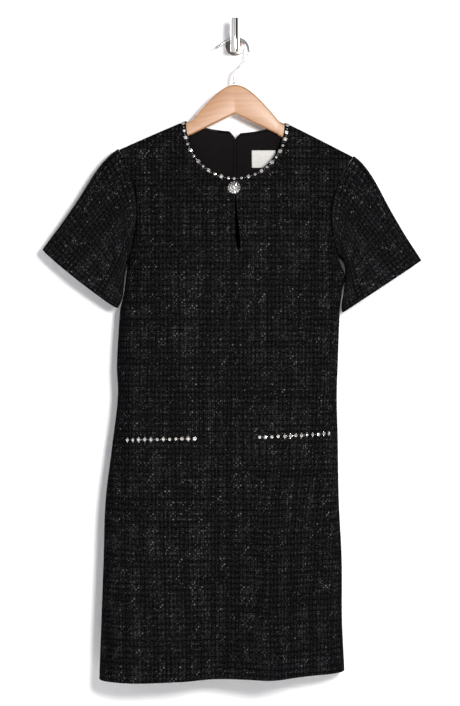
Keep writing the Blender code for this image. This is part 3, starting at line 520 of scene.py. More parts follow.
CUFF_DEPTH, CUFF_Y = 0.016, -0.046
CAP_RISE = 0.085
CUFF_DROOP = {LEFT: 0.005, RIGHT: 0.0}
Ease = namedtuple("Ease", "reach turn")
UNDERARM_EASE = {LEFT: Ease(0.028, 0.45), RIGHT: Ease(0.108, 0.87)}
LEAST_STEP = 0.0028                         # between rows round the armhole
SEAM_RUN, CLOTH_RUN = 0.18, 0.19            # length of a sleeve, for its seam's groove and for its weave


def sleeve(name, side, its_material):
    """A set-in sleeve from the armhole to the open cuff, with its creases."""
    shoulder, underarm = SHOULDER_POINT[side], UNDERARM[side]
    cuff_outer, cuff_inner = CUFF_OUTER[side], CUFF_INNER[side]
    heights = [row.outer.z for row in half_rows(side, False) if not row.on_side_seam] + [underarm.z]
    heights = sorted(set(heights), reverse=True)
    kept = [heights[0]]
    for z in heights[1:-1]:
        if kept[-1] - z > LEAST_STEP:
            kept.append(z)
    heights = kept + [heights[-1]]
    steps = len(heights) - 1
    ease = UNDERARM_EASE[side]
    axis = Vector((cuff_outer.x - shoulder.x, 0, cuff_outer.z - shoulder.z)).normalized()
    cap_up = Vector((side * abs(axis.z), 0, abs(axis.x)))
    outwards = Vector((side, 0, 0))
    ways = [0.0, 0.006, 0.014, 0.026] + [0.026 + 0.964 * (k / 46) for k in range(1, 47)] + [0.995, 1.0]
    round_trip = [(step, front_y, -1) for step in range(steps + 1)]
    round_trip += [(step, back_y, 1) for step in range(steps - 1, 0, -1)]
    starts = []
    for step, surface_y, facing in round_trip:
        z = heights[step]
        x = armhole_x(side, z)
        y = middle_y(x, z) if step in (0, steps) else surface_y(x, z)
        down = (shoulder.z - z) / (shoulder.z - underarm.z)
        starts.append(Vector((x + side * (GAP / 2 + GAP * down ** 6), float(y), z)))
    grid = []
    for way in ways:
        ring = []
        for k, (step, surface_y, facing) in enumerate(round_trip):
            turn = math.pi * step / steps
            along = 0.5 * (1 - math.cos(turn))
            cuff = Vector((cuff_outer.x + (cuff_inner.x - cuff_outer.x) * along,
                           CUFF_Y + facing * CUFF_DEPTH * math.sin(turn),
                           cuff_outer.z + (cuff_inner.z - cuff_outer.z) * along
                           - CUFF_DROOP[side] * math.sin(turn)))
            down = (shoulder.z - heights[step]) / (shoulder.z - underarm.z)
            point = starts[k].lerp(cuff, way)
            point += cap_up * CAP_RISE * way * (1 - way) ** 4 * (1 - down) ** 2
            point += outwards * ease.reach * way * (1 - way) * (1 - way / ease.turn) * down ** 2
            ring.append(point)
        grid.append(ring)
    around, rings = len(round_trip), len(ways)
    points, butts, uvs, faces = [], {}, [], []
    girth = [0.0]
    middle_ring = grid[rings // 2]
    for k in range(around):
        girth.append(girth[-1] + (middle_ring[(k + 1) % around] - middle_ring[k]).length)
    for i, way in enumerate(ways):
        for k, (step, surface_y, facing) in enumerate(round_trip):
            here = grid[i][k]
            tangent_round = grid[i][(k + 1) % around] - grid[i][k - 1]
            tangent_along = grid[min(i + 1, rings - 1)][k] - grid[max(i - 1, 0)][k]
            normal = tangent_along.cross(tangent_round).normalized()
            if side == LEFT:
                normal = -normal
            angle = facing * 180 * step / steps
            rise = 0.0
            for crease in SLEEVE_CREASES[side]:
                aside = (angle - crease.turn + 14 * math.sin(5 * way)) / crease.width
                along = (way - crease.way) / crease.length
                rise += crease.rise * math.exp(-aside ** 2 - along ** 2)
            rise += 0.0007 * math.sin(angle / 17 + 9 * way) * math.sin(11 * way + angle / 40)
            rise *= min(1.0, way / 0.10) * min(1.0, (180 - abs(angle)) / 25, abs(angle) / 12 + 0.3)
            groove = SEAM_DIP * math.exp(-(way * SEAM_RUN / ARM_SEAM_REACH) ** 2)
            rise -= groove * min(1.0, abs(angle) / 30)
            from_underarm = (180 - abs(angle)) / 180 * girth[-1] / 2
            groove = 0.7 * SEAM_DIP * math.exp(-(from_underarm / UNDERARM_SEAM_REACH) ** 2)
            rise -= groove * min(1.0, way / 0.05)
            if i == 0 and step in (0, steps):
                rise = 0.0
            if i == 0:
                butts[len(points)] = [-outwards]
            points.append(here + normal * rise)
            uvs.append((girth[k] - girth[steps] / 2, -CLOTH_RUN * way))
    for i in range(rings - 1):
        for k in range(around):
            after = (k + 1) % around
            face = (i * around + k, i * around + after, (i + 1) * around + after, (i + 1) * around + k)
            faces.append(face if side == LEFT else tuple(reversed(face)))
    return thick_sheet(name, [tuple(p) for p in points], faces, uvs, WALL, butts, its_material)


# ---------------------------------------------------------------- materials

class Graph:
    """Short calls for building a material's nodes."""

    def __init__(self, name):
        self.material = bpy.data.materials.new(name)
        self.material.use_nodes = True
        self.tree = self.material.node_tree
        self.shader = self.tree.nodes["Principled BSDF"]

    def set(self, **values):
        for name, value in values.items():
            self.shader.inputs[name.replace("_", " ")].default_value = value

    def plug(self, value, socket):
        if isinstance(value, (int, float, tuple)):
            socket.default_value = value
        else:
            self.tree.links.new(value, socket)

    def link(self, value, name):
        self.plug(value, self.shader.inputs[name])

    def node(self, kind, **settings):
        made = self.tree.nodes.new(kind)
        for name, value in settings.items():
            setattr(made, name, value)
        return made

    def math(self, operation, a, b=0.0, clamp=False):
        made = self.node("ShaderNodeMath", operation=operation, use_clamp=clamp)
        for value, socket in zip((a, b), made.inputs):
            self.plug(value, socket)
        return made.outputs[0]

    def vector(self, operation, a, b=(0.0, 0.0, 0.0), output=0):
        made = self.node("ShaderNodeVectorMath", operation=operation)
        self.plug(a, made.inputs[0])
        self.plug(b, made.inputs[1])
        return made.outputs[output]

    def uv(self):
        return self.node("ShaderNodeUVMap", uv_map="cloth").outputs[0]

    def place(self):
        return self.node("ShaderNodeTexCoord").outputs["Object"]

    def noise(self, vector, scale, detail=2.0, roughness=0.5, output=0):
        made = self.node("ShaderNodeTexNoise")
        self.plug(vector, made.inputs["Vector"])
        made.inputs["Scale"].default_value = scale
        made.inputs["Detail"].default_value = detail
        made.inputs["Roughness"].default_value = roughness
        return made.outputs[output]

    def voronoi(self, vector, scale, randomness=1.0, output=0):
        made = self.node("ShaderNodeTexVoronoi")
        self.plug(vector, made.inputs["Vector"])
        made.inputs["Scale"].default_value = scale
        made.inputs["Randomness"].default_value = randomness
        return made.outputs[output]

    def ramp(self, value, low, high):
        made = self.node("ShaderNodeMapRange", interpolation_type="SMOOTHSTEP")
        self.plug(value, made.inputs[0])
        made.inputs[1].default_value = low
        made.inputs[2].default_value = high
        return made.outputs[0]

    def mix(self, factor, a, b):
        made = self.node("ShaderNodeMix", data_type="RGBA")
        self.plug(factor, made.inputs[0])
        self.plug(a, made.inputs[6])
        self.plug(b, made.inputs[7])
        return made.outputs[2]

    def grey(self, value):
        made = self.node("ShaderNodeCombineColor")
        for socket in made.inputs:
            self.plug(value, socket)
        return made.outputs[0]

    def bump(self, height, strength, distance):
        made = self.node("ShaderNodeBump")
        made.inputs["Strength"].default_value = strength
        made.inputs["Distance"].default_value = distance
        self.plug(height, made.inputs["Height"])
        self.link(made.outputs[0], "Normal")


YARN, REPEAT = (0.0032, 0.0030), (0.0065, 0.0090)    # spacing of the yarns and of the weave's repeat


def tweed():
    """Black boucle tweed: a loose square weave with slubs and short pale threads in uneven bands, their
    brightness partly painted glints.
    """
    g = Graph("black_tweed")
    g.set(Specular_IOR_Level=0.004)
    uv = g.uv()
    wander = g.vector("SUBTRACT", g.noise(uv, 150, 1, output=1), (0.5, 0.5, 0.5))
    wandered = g.vector("ADD", uv, g.vector("MULTIPLY", wander, (0.0018, 0.0018, 0.0)))

    def wave(u_period, v_period):
        """A grid of soft humps with the given periods."""
        split = g.node("ShaderNodeSeparateXYZ")
        g.plug(g.vector("MULTIPLY", wandered, (math.pi / u_period, math.pi / v_period, 1)), split.inputs[0])
        across_u = g.math("ABSOLUTE", g.math("SINE", split.outputs[0]))
        across_v = g.math("ABSOLUTE", g.math("SINE", split.outputs[1]))
        return across_u, across_v

    warp, weft = wave(*YARN)
    stripe, course = wave(*REPEAT)
    yarns = g.math("MULTIPLY", warp, weft)
    loops = g.voronoi(wandered, 460, 0.9)
    slubs = g.noise(uv, 380, 3, 0.6)
    height = g.math("ADD", g.math("MULTIPLY", yarns, 0.8), g.math("MULTIPLY", slubs, 0.9))
    height = g.math("SUBTRACT", height, g.math("MULTIPLY", loops, 0.6))
    # uneven bands along the warp and the weft
    bands_u = g.noise(g.vector("MULTIPLY", uv, (1, 0.05, 1)), 58, 2, 0.65)
    bands_v = g.noise(g.vector("MULTIPLY", uv, (0.05, 1, 1)), 64, 2, 0.6)
    patches = g.noise(uv, 34, 2, 0.5)
    band = g.math("MULTIPLY", g.ramp(bands_u, 0.38, 0.62), g.ramp(bands_v, 0.28, 0.58))
    band = g.math("MULTIPLY", band, g.ramp(patches, 0.30, 0.58))

    def glints(cell_u, cell_v, least, most, shift, width):
        """A short pale thread in some of the cells of a grid, at a random strength that is painted glint."""
        moved = g.vector("ADD", wandered, (shift, shift, 0))
        cells = g.vector("MULTIPLY", moved, (1 / cell_u, 1 / cell_v, 1))
        inside = g.vector("SUBTRACT", g.vector("FRACTION", cells), (0.5, 0.5, 0.0))
        inside = g.vector("MULTIPLY", inside, (cell_u / width, cell_v / width, 0))
        near = g.vector("LENGTH", inside, output=1)
        chance = g.node("ShaderNodeTexWhiteNoise", noise_dimensions="2D")
        g.plug(g.vector("FLOOR", cells), chance.inputs["Vector"])
        share = g.math("ADD", g.math("MULTIPLY", band, most - least), least)
        chosen = g.math("LESS_THAN", chance.outputs[0], share)
        shape = g.ramp(near, 1.0, 0.45)
        split = g.node("ShaderNodeSeparateColor")
        g.plug(chance.outputs[1], split.inputs[0])
        strength = g.math("POWER", split.outputs[1], 2.2)
        return g.math("MULTIPLY", g.math("MULTIPLY", chosen, shape), strength)

    fine = glints(*YARN, 0.12, 0.50, 0.0008, 0.0012)
    coarse = glints(*REPEAT, 0.06, 0.50, 0.0011, 0.0014)
    between = glints(*REPEAT, 0.04, 0.34, 0.0046, 0.0012)
    shine = g.math("MULTIPLY", fine, 0.065)
    shine = g.math("ADD", shine, g.math("MULTIPLY", g.math("ADD", coarse, between), 0.145), clamp=True)
    grid = g.math("MULTIPLY", g.math("ADD", g.math("MULTIPLY", stripe, 0.85), 0.42),
                  g.math("ADD", g.math("MULTIPLY", course, 0.85), 0.42))
    nap = g.math("MULTIPLY", g.ramp(slubs, 0.30, 0.70), g.math("ADD", 0.45, g.math("MULTIPLY", yarns, 0.55)))
    nap = g.math("MULTIPLY", nap, grid)
    nap = g.math("MULTIPLY", nap, g.math("ADD", 0.62, g.math("MULTIPLY", band, 0.55)))
    ground = g.mix(nap, (0.0004, 0.0004, 0.0006, 1), (0.0218, 0.0215, 0.0226, 1))
    # The threads' pale colour is partly their own and partly painted glint: its random strength stands in for
    # the light each thread catches.
    g.link(g.mix(shine, ground, (0.80, 0.80, 0.82, 1)), "Base Color")
    g.link(g.math("SUBTRACT", 0.90, g.math("MULTIPLY", shine, 0.4)), "Roughness")
    g.bump(g.math("ADD", height, g.math("MULTIPLY", shine, 0.6)), 0.6, 0.0006)
    return g.material


def plain_black():
    """The facing: a fine dark twill."""
    g = Graph("black_facing")
    g.set(Specular_IOR_Level=0.03, Roughness=0.7)
    uv = g.uv()
    parts = g.node("ShaderNodeSeparateXYZ")
    g.plug(g.vector("MULTIPLY", uv, (2600, 2600, 1)), parts.inputs[0])
    twill = g.math("SINE", g.math("ADD", parts.outputs[0], parts.outputs[1]))
    cloud = g.noise(uv, 90, 3)
    g.link(g.mix(cloud, (0.0040, 0.0033, 0.0034, 1), (0.0062, 0.0052, 0.0053, 1)), "Base Color")
    g.bump(g.math("ADD", g.math("MULTIPLY", twill, 0.4), cloud), 0.35, 0.0003)
    return g.material


def satin_label():
    g = Graph("cream_label")
    g.set(Sheen_Weight=0.15, Specular_IOR_Level=0.35, Roughness=0.45)
    uv = g.uv()
    ribs = g.node("ShaderNodeTexWave", wave_type="BANDS", bands_direction="Y")
    g.plug(uv, ribs.inputs["Vector"])
    ribs.inputs["Scale"].default_value = 620
    cloud = g.noise(uv, 120, 3)
    g.link(g.mix(cloud, (0.50, 0.49, 0.465, 1), (0.60, 0.585, 0.555, 1)), "Base Color")
    g.bump(g.math("ADD", g.math("MULTIPLY", ribs.outputs[1], 0.5), cloud), 0.3, 0.0002)
    return g.material


def woven_tape():
    g = Graph("black_tape")
    g.set(Specular_IOR_Level=0.05, Roughness=0.7)
    place = g.place()
    ribs = g.noise(g.vector("MULTIPLY", place, (400, 400, 1700)), 1.0, 2)
    g.link(g.mix(ribs, (0.0015, 0.0015, 0.0018, 1), (0.0055, 0.0055, 0.006, 1)), "Base Color")
    g.bump(ribs, 0.5, 0.0003)
    return g.material


def thread(name, dark, light):
    g = Graph(name)
    g.set(Roughness=0.6, Specular_IOR_Level=0.15)
    twist = g.noise(g.place(), 2600, 2)
    g.link(g.mix(twist, dark, light), "Base Color")
    return g.material


def chrome_metal(name, tint, roughness, brushed):
    """Polished plated metal with faint wear; brushed stretches the wear along Z."""
    g = Graph(name)
    g.set(Metallic=1.0)
    place = g.vector("MULTIPLY", g.place(), (1, 1, 0.05 if brushed else 1))
    wear = g.noise(place, 900, 3, 0.6)
    smudge = g.noise(g.place(), 60, 2)
    dull = tuple(value * 0.86 for value in tint)
    g.link(g.mix(smudge, (*dull, 1), (*tint, 1)), "Base Color")
    g.link(g.math("ADD", roughness, g.math("MULTIPLY", g.ramp(wear, 0.45, 0.8), 0.10)), "Roughness")
    g.bump(wear, 0.05, 0.0001)
    return g.material


def crystal():
    """Foil-backed stones: bright facets, some with a faint colour."""
    g = Graph("clear_stone")
    g.set(Metallic=0.75, Roughness=0.06, Coat_Weight=0.6, Coat_Roughness=0.02)
    cells = g.voronoi(g.place(), 640, 1.0, output=1)
    split = g.node("ShaderNodeSeparateColor")
    g.plug(cells, split.inputs[0])
    shade = g.math("ADD", 0.42, g.math("MULTIPLY", split.outputs[0], 0.58))
    tint = g.mix(g.math("MULTIPLY", split.outputs[1], 0.5), (0.97, 0.97, 1.0, 1), (1.0, 0.93, 0.82, 1))
    bright = g.node("ShaderNodeMix", data_type="RGBA", blend_type="MULTIPLY")
    bright.inputs[0].default_value = 1.0
    g.plug(tint, bright.inputs[6])
    g.plug(g.grey(shade), bright.inputs[7])
    g.link(bright.outputs[2], "Base Color")
    return g.material


def lacquered_wood():
    """Pale beech with grain along the hanger's arms."""
    g = Graph("pale_wood")
    g.set(Roughness=0.38, Coat_Weight=0.35, Coat_Roughness=0.18, Specular_IOR_Level=0.4)
    place = g.place()
    bend = g.noise(place, 7, 2, output=1)
    bent = g.vector("ADD", place, g.vector("MULTIPLY", bend, (0.02, 0.02, 0.05)))
    grain = g.noise(g.vector("MULTIPLY", bent, (3.2, 30, 95)), 1.6, 4, 0.62)
    flecks = g.noise(g.vector("MULTIPLY", bent, (70, 400, 620)), 1.0, 2, 0.6)
    rings = g.ramp(grain, 0.34, 0.66)
    pale, warm = (0.390, 0.203, 0.098, 1), (0.315, 0.152, 0.066, 1)
    colour = g.mix(g.math("MULTIPLY", rings, 0.85), pale, warm)
    colour = g.mix(g.math("MULTIPLY", g.ramp(flecks, 0.62, 0.80), 0.5), colour, (0.235, 0.104, 0.042, 1))
    g.link(colour, "Base Color")
    g.bump(g.math("ADD", g.math("MULTIPLY", rings, 0.3), flecks), 0.12, 0.0002)
    return g.material


TWEED, FACING, TAPE = tweed(), plain_black(), woven_tape()
LABEL, CRYSTAL, WOOD = satin_label(), crystal(), lacquered_wood()
CHROME = chrome_metal("chrome", (0.80, 0.79, 0.78), 0.07, True)
WIRE = chrome_metal("plated_wire", (0.46, 0.46, 0.46), 0.10, False)
# Painted reflection: a darkened copy of the chrome for the flange. Its dark tint stands in for the dark room
# that the polished flange mirrors.
SHADED_CHROME = chrome_metal("shaded_chrome", (0.15, 0.125, 0.115), 0.16, False)
ZIP_METAL = chrome_metal("zip_metal", (0.40, 0.39, 0.38), 0.18, False)
SETTING = chrome_metal("pale_setting", (0.60, 0.57, 0.52), 0.20, False)
DARK_THREAD = thread("dark_thread", (0.004, 0.004, 0.0045, 1), (0.016, 0.016, 0.017, 1))
PALE_THREAD = thread("pale_thread", (0.45, 0.43, 0.38, 1), (0.75, 0.72, 0.66, 1))


# ---------------------------------------------------------------- the cloth

def cloth_piece(made, node):
    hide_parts(node)
    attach(made, "dress")


made = panel("cloth_front", front_y, (LEFT, RIGHT), False, TWEED)
cloth_piece(made, "front")
made = panel("cloth_back_left", back_y, (LEFT,), True, TWEED)
cloth_piece(made, "back_left")
made = panel("cloth_back_right", back_y, (RIGHT,), True, TWEED)
cloth_piece(made, "back_right")
for side, word in ((LEFT, "left"), (RIGHT, "right")):
    cloth_piece(sleeve(f"cloth_sleeve_{word}", side, TWEED), f"sleeve_{word}")


def inside_back(name, columns, rows, corner_at, depth_in, thickness, its_material):
    points, faces, uvs = [], [], []
    for r in range(rows + 1):
        for c in range(columns + 1):
            corner = corner_at(c / columns, r / rows)
            place, _ = on_back(corner.x, corner.z, depth_in)
            points.append(tuple(place))
            uvs.append((corner.x, corner.z))
    wide = columns + 1
    for r in range(rows):
        for c in range(columns):
            faces.append((r * wide + c, (r + 1) * wide + c, (r + 1) * wide + c + 1, r * wide + c + 1))
    return thick_sheet(name, points, faces, uvs, thickness, {}, its_material)


FACING_THICKNESS, FACING_OUTER, FACING_BOTTOM = 0.0010, 0.074, -0.245
FACING_SETBACK, FACING_INNER = 0.003, 0.0031
for side, word in ((LEFT, "left"), (RIGHT, "right")):
    def facing_corner(u, v, side=side):
        x = side * (FACING_INNER + (FACING_OUTER - FACING_INNER) * (u if side == RIGHT else 1 - u))
        top = back_neck_height(side, x) - FACING_SETBACK
        return Corner(x, FACING_BOTTOM + (top - FACING_BOTTOM) * v)

    cloth_piece(inside_back(f"facing_{word}", 40, 34, facing_corner, WALL + GAP, FACING_THICKNESS, FACING),
                f"back_facing_{word}")

LABEL_LEFT, LABEL_RIGHT, LABEL_TOP, LABEL_BOTTOM = 0.0277, 0.0660, -0.1740, -0.2018
LABEL_THICKNESS = 0.0006
LABEL_DEPTH = WALL + GAP + FACING_THICKNESS + GAP


def label_corner(u, v):
    return Corner(LABEL_LEFT + (LABEL_RIGHT - LABEL_LEFT) * u, LABEL_BOTTOM + (LABEL_TOP - LABEL_BOTTOM) * v)


label = inside_back("blank_label", 20, 14, label_corner, LABEL_DEPTH, LABEL_THICKNESS, LABEL)
cloth_piece(label, "label")

# ---------------------------------------------------------------- many small pieces in one mesh


class Heap:
    """Collects copies of small shapes into one mesh."""

    def __init__(self):
        self.points, self.faces = [], []

    def add(self, shape, place, scale=1.0):
        base = len(self.points)
        corners, sides = shape
        self.points += [tuple(place @ (Vector(corner) * scale)) for corner in corners]
        self.faces += [tuple(base + index for index in side) for side in sides]

    def build(self, name, its_material, slot, body="dress", smooth=False):
        mesh = bpy.data.meshes.new(name)
        mesh.from_pydata(self.points, [], self.faces)
        mesh.materials.append(its_material)
        if smooth:
            mesh.shade_smooth()
        made = add_object(name, mesh)
        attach(made, body)
        return made


def turned_shape(profile, sides, twist=0.0):
    """Corners and faces of a shape turned about Z from (radius, height) corners, closed at both ends."""
    corners, faces = [], []
    for level, (radius, height) in enumerate(profile):
        for k in range(sides):
            angle = 2 * math.pi * (k + twist * level) / sides
            corners.append((radius * math.cos(angle), radius * math.sin(angle), height))
    for level in range(len(profile) - 1):
        for k in range(sides):
            after = (k + 1) % sides
            faces.append((level * sides + k, level * sides + after,
                          (level + 1) * sides + after, (level + 1) * sides + k))
    faces.append(tuple(range(sides))[::-1])
    faces.append(tuple((len(profile) - 1) * sides + k for k in range(sides)))
    return corners, faces


# unit sizes: girdle radius 1, seated at height 0
BRILLIANT = turned_shape([(0.35, 0.05), (0.98, 0.42), (1.0, 0.50), (0.80, 0.72), (0.52, 0.86)], 8, 0.5)
CUP = turned_shape([(0.70, 0.0), (0.86, 0.10), (1.10, 0.40), (1.12, 0.50), (1.02, 0.50)], 12)
BEAD = turned_shape([(0.35, 0.0), (0.85, 0.25), (1.0, 0.62), (0.85, 1.0), (0.40, 1.22)], 10)


def prong_shape():
    corners, faces = [], []
    path = ((1.10, 0.15), (1.18, 0.45), (1.06, 0.74), (0.84, 0.86))
    for radius, height in path:
        for u, v in ((-0.10, -0.06), (0.10, -0.06), (0.10, 0.06), (-0.10, 0.06)):
            corners.append((radius + v, u, height + v))
    for level in range(len(path) - 1):
        for k in range(4):
            after = (k + 1) % 4
            faces.append((level * 4 + k, level * 4 + after, level * 4 + 4 + after, level * 4 + 4 + k))
    faces.append((3, 2, 1, 0))
    faces.append((12, 13, 14, 15))
    return corners, faces


PRONG, PRONGS = prong_shape(), 4


def standing(place, normal, turn=0.0):
    """A matrix that seats a shape at place with its Z along normal."""
    return Matrix.Translation(place) @ normal.to_track_quat("Z", "Y").to_matrix().to_4x4() \
        @ Matrix.Rotation(turn, 4, "Z")


def add_prongs(settings, seat, radius):
    for k in range(PRONGS):
        settings.add(PRONG, seat @ Matrix.Rotation(2 * math.pi * (k + 0.5) / PRONGS, 4, "Z"), radius)


def set_stone(stones, settings, place, normal, radius, turn):
    seat = standing(place, normal, turn)
    stones.add(BRILLIANT, seat, radius)
    settings.add(CUP, seat, radius)
    add_prongs(settings, seat, radius)


def side_beads(settings, place, normal, along, radius):
    """Two beads that flank a stone across its line."""
    across_line = normal.cross(along).normalized()
    for way in (-1, 1):
        settings.add(BEAD, standing(place + across_line * way * radius * 1.45, normal), TINY_BEAD * 0.8)


def along_curve(curve, spacing):
    """Points of a dense (x, z) curve at even distances over the front, ends included."""
    places = [on_front(x, z)[0] for x, z in curve]
    run = np.concatenate([[0], np.cumsum([(b - a).length for a, b in zip(places, places[1:])])])
    count = max(1, round(run[-1] / spacing))
    wanted = np.linspace(0, run[-1], count + 1)
    xs = np.interp(wanted, run, [x for x, _ in curve])
    zs = np.interp(wanted, run, [z for _, z in curve])
    return list(zip(xs, zs))


TRIM_SETBACK, TRIM_LIFT = 0.0030, 0.0004
NECK_SPACING = 0.0059
ROW_START, ROW_END = 0.0055, 0.0046         # below the neck point, and beside the slit
LARGE_STONE, SMALL_STONE, TINY_BEAD = 0.0029, 0.0021, 0.0011
LOOP_STONE = Corner(-0.0012, -0.2237)       # the last stone of the left row, just above the button

for side, word in ((LEFT, "left"), (RIGHT, "right")):
    neck = NECK_POINT[side]
    reach = abs(neck.x) + TRIM_SETBACK
    drop = neck.z - FRONT_NECK_BOTTOM + TRIM_SETBACK
    first, last = math.asin(ROW_START / drop), math.acos(ROW_END / reach)
    curve = [(side * reach * math.cos(a), neck.z - drop * math.sin(a)) for a in np.linspace(first, last, 120)]
    stones, settings = Heap(), Heap()
    for k, (x, z) in enumerate(along_curve(curve, NECK_SPACING)):
        place, normal = on_front(x, z, TRIM_LIFT)
        if k % 2 == 0:
            radius = LARGE_STONE if k % 4 == 0 else SMALL_STONE
            radius *= rng.uniform(0.94, 1.06)
            set_stone(stones, settings, place, normal, radius, rng.uniform(0, 1.5))
            if k % 4 == 0:
                side_beads(settings, place, normal, Vector((side * (neck.z - z), 0, -abs(x))), radius)
        else:
            settings.add(BEAD, standing(place, normal), TINY_BEAD * rng.uniform(0.7, 0.85))
    if side == LEFT:
        place, normal = on_front(LOOP_STONE.x, LOOP_STONE.z, TRIM_LIFT)
        set_stone(stones, settings, place, normal, SMALL_STONE, 0.6)
    made = stones.build(f"neck_stones_{word}", CRYSTAL, "stones")
    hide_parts(f"neck_trim_{word}")
    settings.build(f"neck_settings_{word}", SETTING, "stones")

Strip = namedtuple("Strip", "start end")
POCKET_TRIM = {
    LEFT: Strip(Corner(-0.1734, -0.6443), Corner(-0.0586, -0.6410)),
    RIGHT: Strip(Corner(0.0387, -0.6394), Corner(0.1520, -0.6345)),
}
POCKET_SPACING = 0.0050
for side, word in ((LEFT, "left"), (RIGHT, "right")):
    start, end = POCKET_TRIM[side]
    curve = [(start.x + (end.x - start.x) * t, start.z + (end.z - start.z) * t)
             for t in np.linspace(0.01, 0.99, 60)]
    stones, settings = Heap(), Heap()
    for k, (x, z) in enumerate(along_curve(curve, POCKET_SPACING)):
        z += rng.uniform(-0.0004, 0.0004)
        place, normal = on_front(x, z, TRIM_LIFT)
        if k % 2 == 0:
            radius = LARGE_STONE * rng.choice((0.95, 0.82, 0.74, 0.90))
            set_stone(stones, settings, place, normal, radius, rng.uniform(0, 1.5))
            if rng.random() < 0.6:
                side_beads(settings, place, normal, Vector((1, 0, 0)), radius)
        elif rng.random() < 0.5:
            settings.add(BEAD, standing(place, normal), TINY_BEAD * rng.uniform(0.6, 0.8))
    made = stones.build(f"pocket_stones_{word}", CRYSTAL, "stones")
    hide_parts(f"pocket_trim_{word}")
    settings.build(f"pocket_settings_{word}", SETTING, "stones")

# ---------------------------------------------------------------- button

BUTTON_CENTRE, BUTTON_LIFT = Corner(-0.0016, -0.2385), 0.0006
BUTTON_BASE = ((0.0088, 0.0), (0.0098, 0.0008), (0.0094, 0.0020), (0.0060, 0.0038), (0.0020, 0.0046))
Ring = namedtuple("Ring", "count distance height tilt radius")
BUTTON_RINGS = (
    Ring(1, 0.0, 0.0046, 0.0, 0.0029),
    Ring(8, 0.0052, 0.0034, 0.38, 0.0020),
    Ring(13, 0.0086, 0.0014, 0.80, 0.0017),
)
place, normal = on_front(*BUTTON_CENTRE, BUTTON_LIFT)
seat = standing(place, normal)
stones, settings = Heap(), Heap()
settings.add(turned_shape(BUTTON_BASE, 32), seat)
for ring in BUTTON_RINGS:
    for k in range(ring.count):
        angle = 2 * math.pi * (k + 0.25) / ring.count
        outwards = Vector((math.cos(angle), math.sin(angle), 0))
        lean = (Vector((0, 0, 1)) * math.cos(ring.tilt) + outwards * math.sin(ring.tilt)).normalized()
        local = standing(outwards * ring.distance + Vector((0, 0, ring.height)), lean, angle)
        spot = seat @ local
        stones.add(BRILLIANT, spot, ring.radius)
        settings.add(CUP, spot, ring.radius * 0.97)
        add_prongs(settings, spot, ring.radius * 0.95)
made = stones.build("button_stones", CRYSTAL, "button")
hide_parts("button")
settings.build("button_setting", ZIP_METAL, "button")

# ---------------------------------------------------------------- stitches and zip teeth


def capsule(length, radius):
    half = length / 2
    corners, faces = turned_shape([(radius * 0.4, -half), (radius, -half + radius), (radius, half - radius),
                                   (radius * 0.4, half)], 6)
    return [(z, x, y) for x, y, z in corners], faces


STITCH = capsule(0.0024, 0.00022)


STITCH_LIFT = 0.0001                        # stitches stand this far off the cloth


def run_of_stitches(name, route, its_material, slot, pitch, depth_in):
    """Stitches along an (x, z) route on the inner side of the back."""
    heap = Heap()
    places = [on_back(x, z, depth_in)[0] for x, z in route]
    run = np.concatenate([[0], np.cumsum([(b - a).length for a, b in zip(places, places[1:])])])
    for along in np.arange(pitch / 2, run[-1], pitch):
        ahead = [Vector([float(np.interp(along + d, run, [p[i] for p in places])) for i in range(3)])
                 for d in (-0.0008, 0.0008)]
        direction = (ahead[1] - ahead[0]).normalized()
        middle = (ahead[0] + ahead[1]) / 2
        turn = direction.to_track_quat("X", "Z").to_matrix().to_4x4()
        heap.add(STITCH, Matrix.Translation(middle) @ turn)
    return heap.build(name, its_material, slot, smooth=True)


for side, word in ((LEFT, "left"), (RIGHT, "right")):
    xs = np.linspace(NOTCH_WIDTH, 0.072, 60) * side
    route = [(x, back_neck_height(side, x) - 0.0065) for x in xs]
    run_of_stitches(f"neck_stitches_{word}", route, DARK_THREAD, "facing", 0.0030,
                    WALL + GAP + FACING_THICKNESS + STITCH_LIFT)
LABEL_INSET = 0.0012
stitch_xs = np.linspace(LABEL_LEFT + LABEL_INSET, LABEL_RIGHT - LABEL_INSET, 20)
route = [(x, LABEL_TOP - LABEL_INSET) for x in stitch_xs]
stitch_depth = LABEL_DEPTH + LABEL_THICKNESS + STITCH_LIFT
run_of_stitches("label_stitches", route, PALE_THREAD, "label", 0.0029, stitch_depth)

TOOTH_PITCH, TOOTH_OFFSET, TEETH_INSET = 0.0021, 0.0006, 0.004
TOOTH_DEPTH = WALL + 2 * GAP + 0.0012 + 0.0005   # past the tape, on its inner side
tooth = ([(x, y, z) for x in (-0.0012, 0.0012) for y in (-0.0004, 0.0004) for z in (-0.00055, 0.00055)],
         [(0, 1, 3, 2), (4, 6, 7, 5), (0, 4, 5, 1), (2, 3, 7, 6), (0, 2, 6, 4), (1, 5, 7, 3)])
teeth = Heap()
tape_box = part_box("zip_tape")
z, flip = tape_box[1][2] - TEETH_INSET, 1
while z > tape_box[0][2] + TEETH_INSET:
    place, _ = on_back(float(section(z, "centre")) + TOOTH_OFFSET * flip, z, TOOTH_DEPTH)
    teeth.add(tooth, Matrix.Translation(place))
    z -= TOOTH_PITCH / 2
    flip = -flip
teeth.build("zip_teeth", TAPE, "tape")

# ---------------------------------------------------------------- hanger and hooks

HANGER_HALF_THICKNESS, HANGER_EDGE_ROUND = 0.0055, 0.0034
HANGER_HALF_SPAN, ARM_END, TIP_SHARE = 0.178, 0.005, 0.55
HANGER_TOP, HANGER_NOTCH = -0.0683, -0.1150
HUMP_SOFTNESS, HUMP_SLOPE = 0.040, 1.42
NOTCH_SLOPE = 0.485
ARM_START, ARM_HEIGHT = 0.070, 0.0235
ARM_CLEARANCE = 0.0028
WIRE_RADIUS, WIRE_X, SHANK_DEPTH = 0.0019, -0.0016, 0.020
FLANGE_RADIUS, FLANGE_THICKNESS, STEM_RADIUS = 0.016, 0.005, 0.006
BAR_RADIUS, BAR_TOP, BAR_BOTTOM, BAR_Y = 0.0071, 0.0380, -0.0168, -0.0590


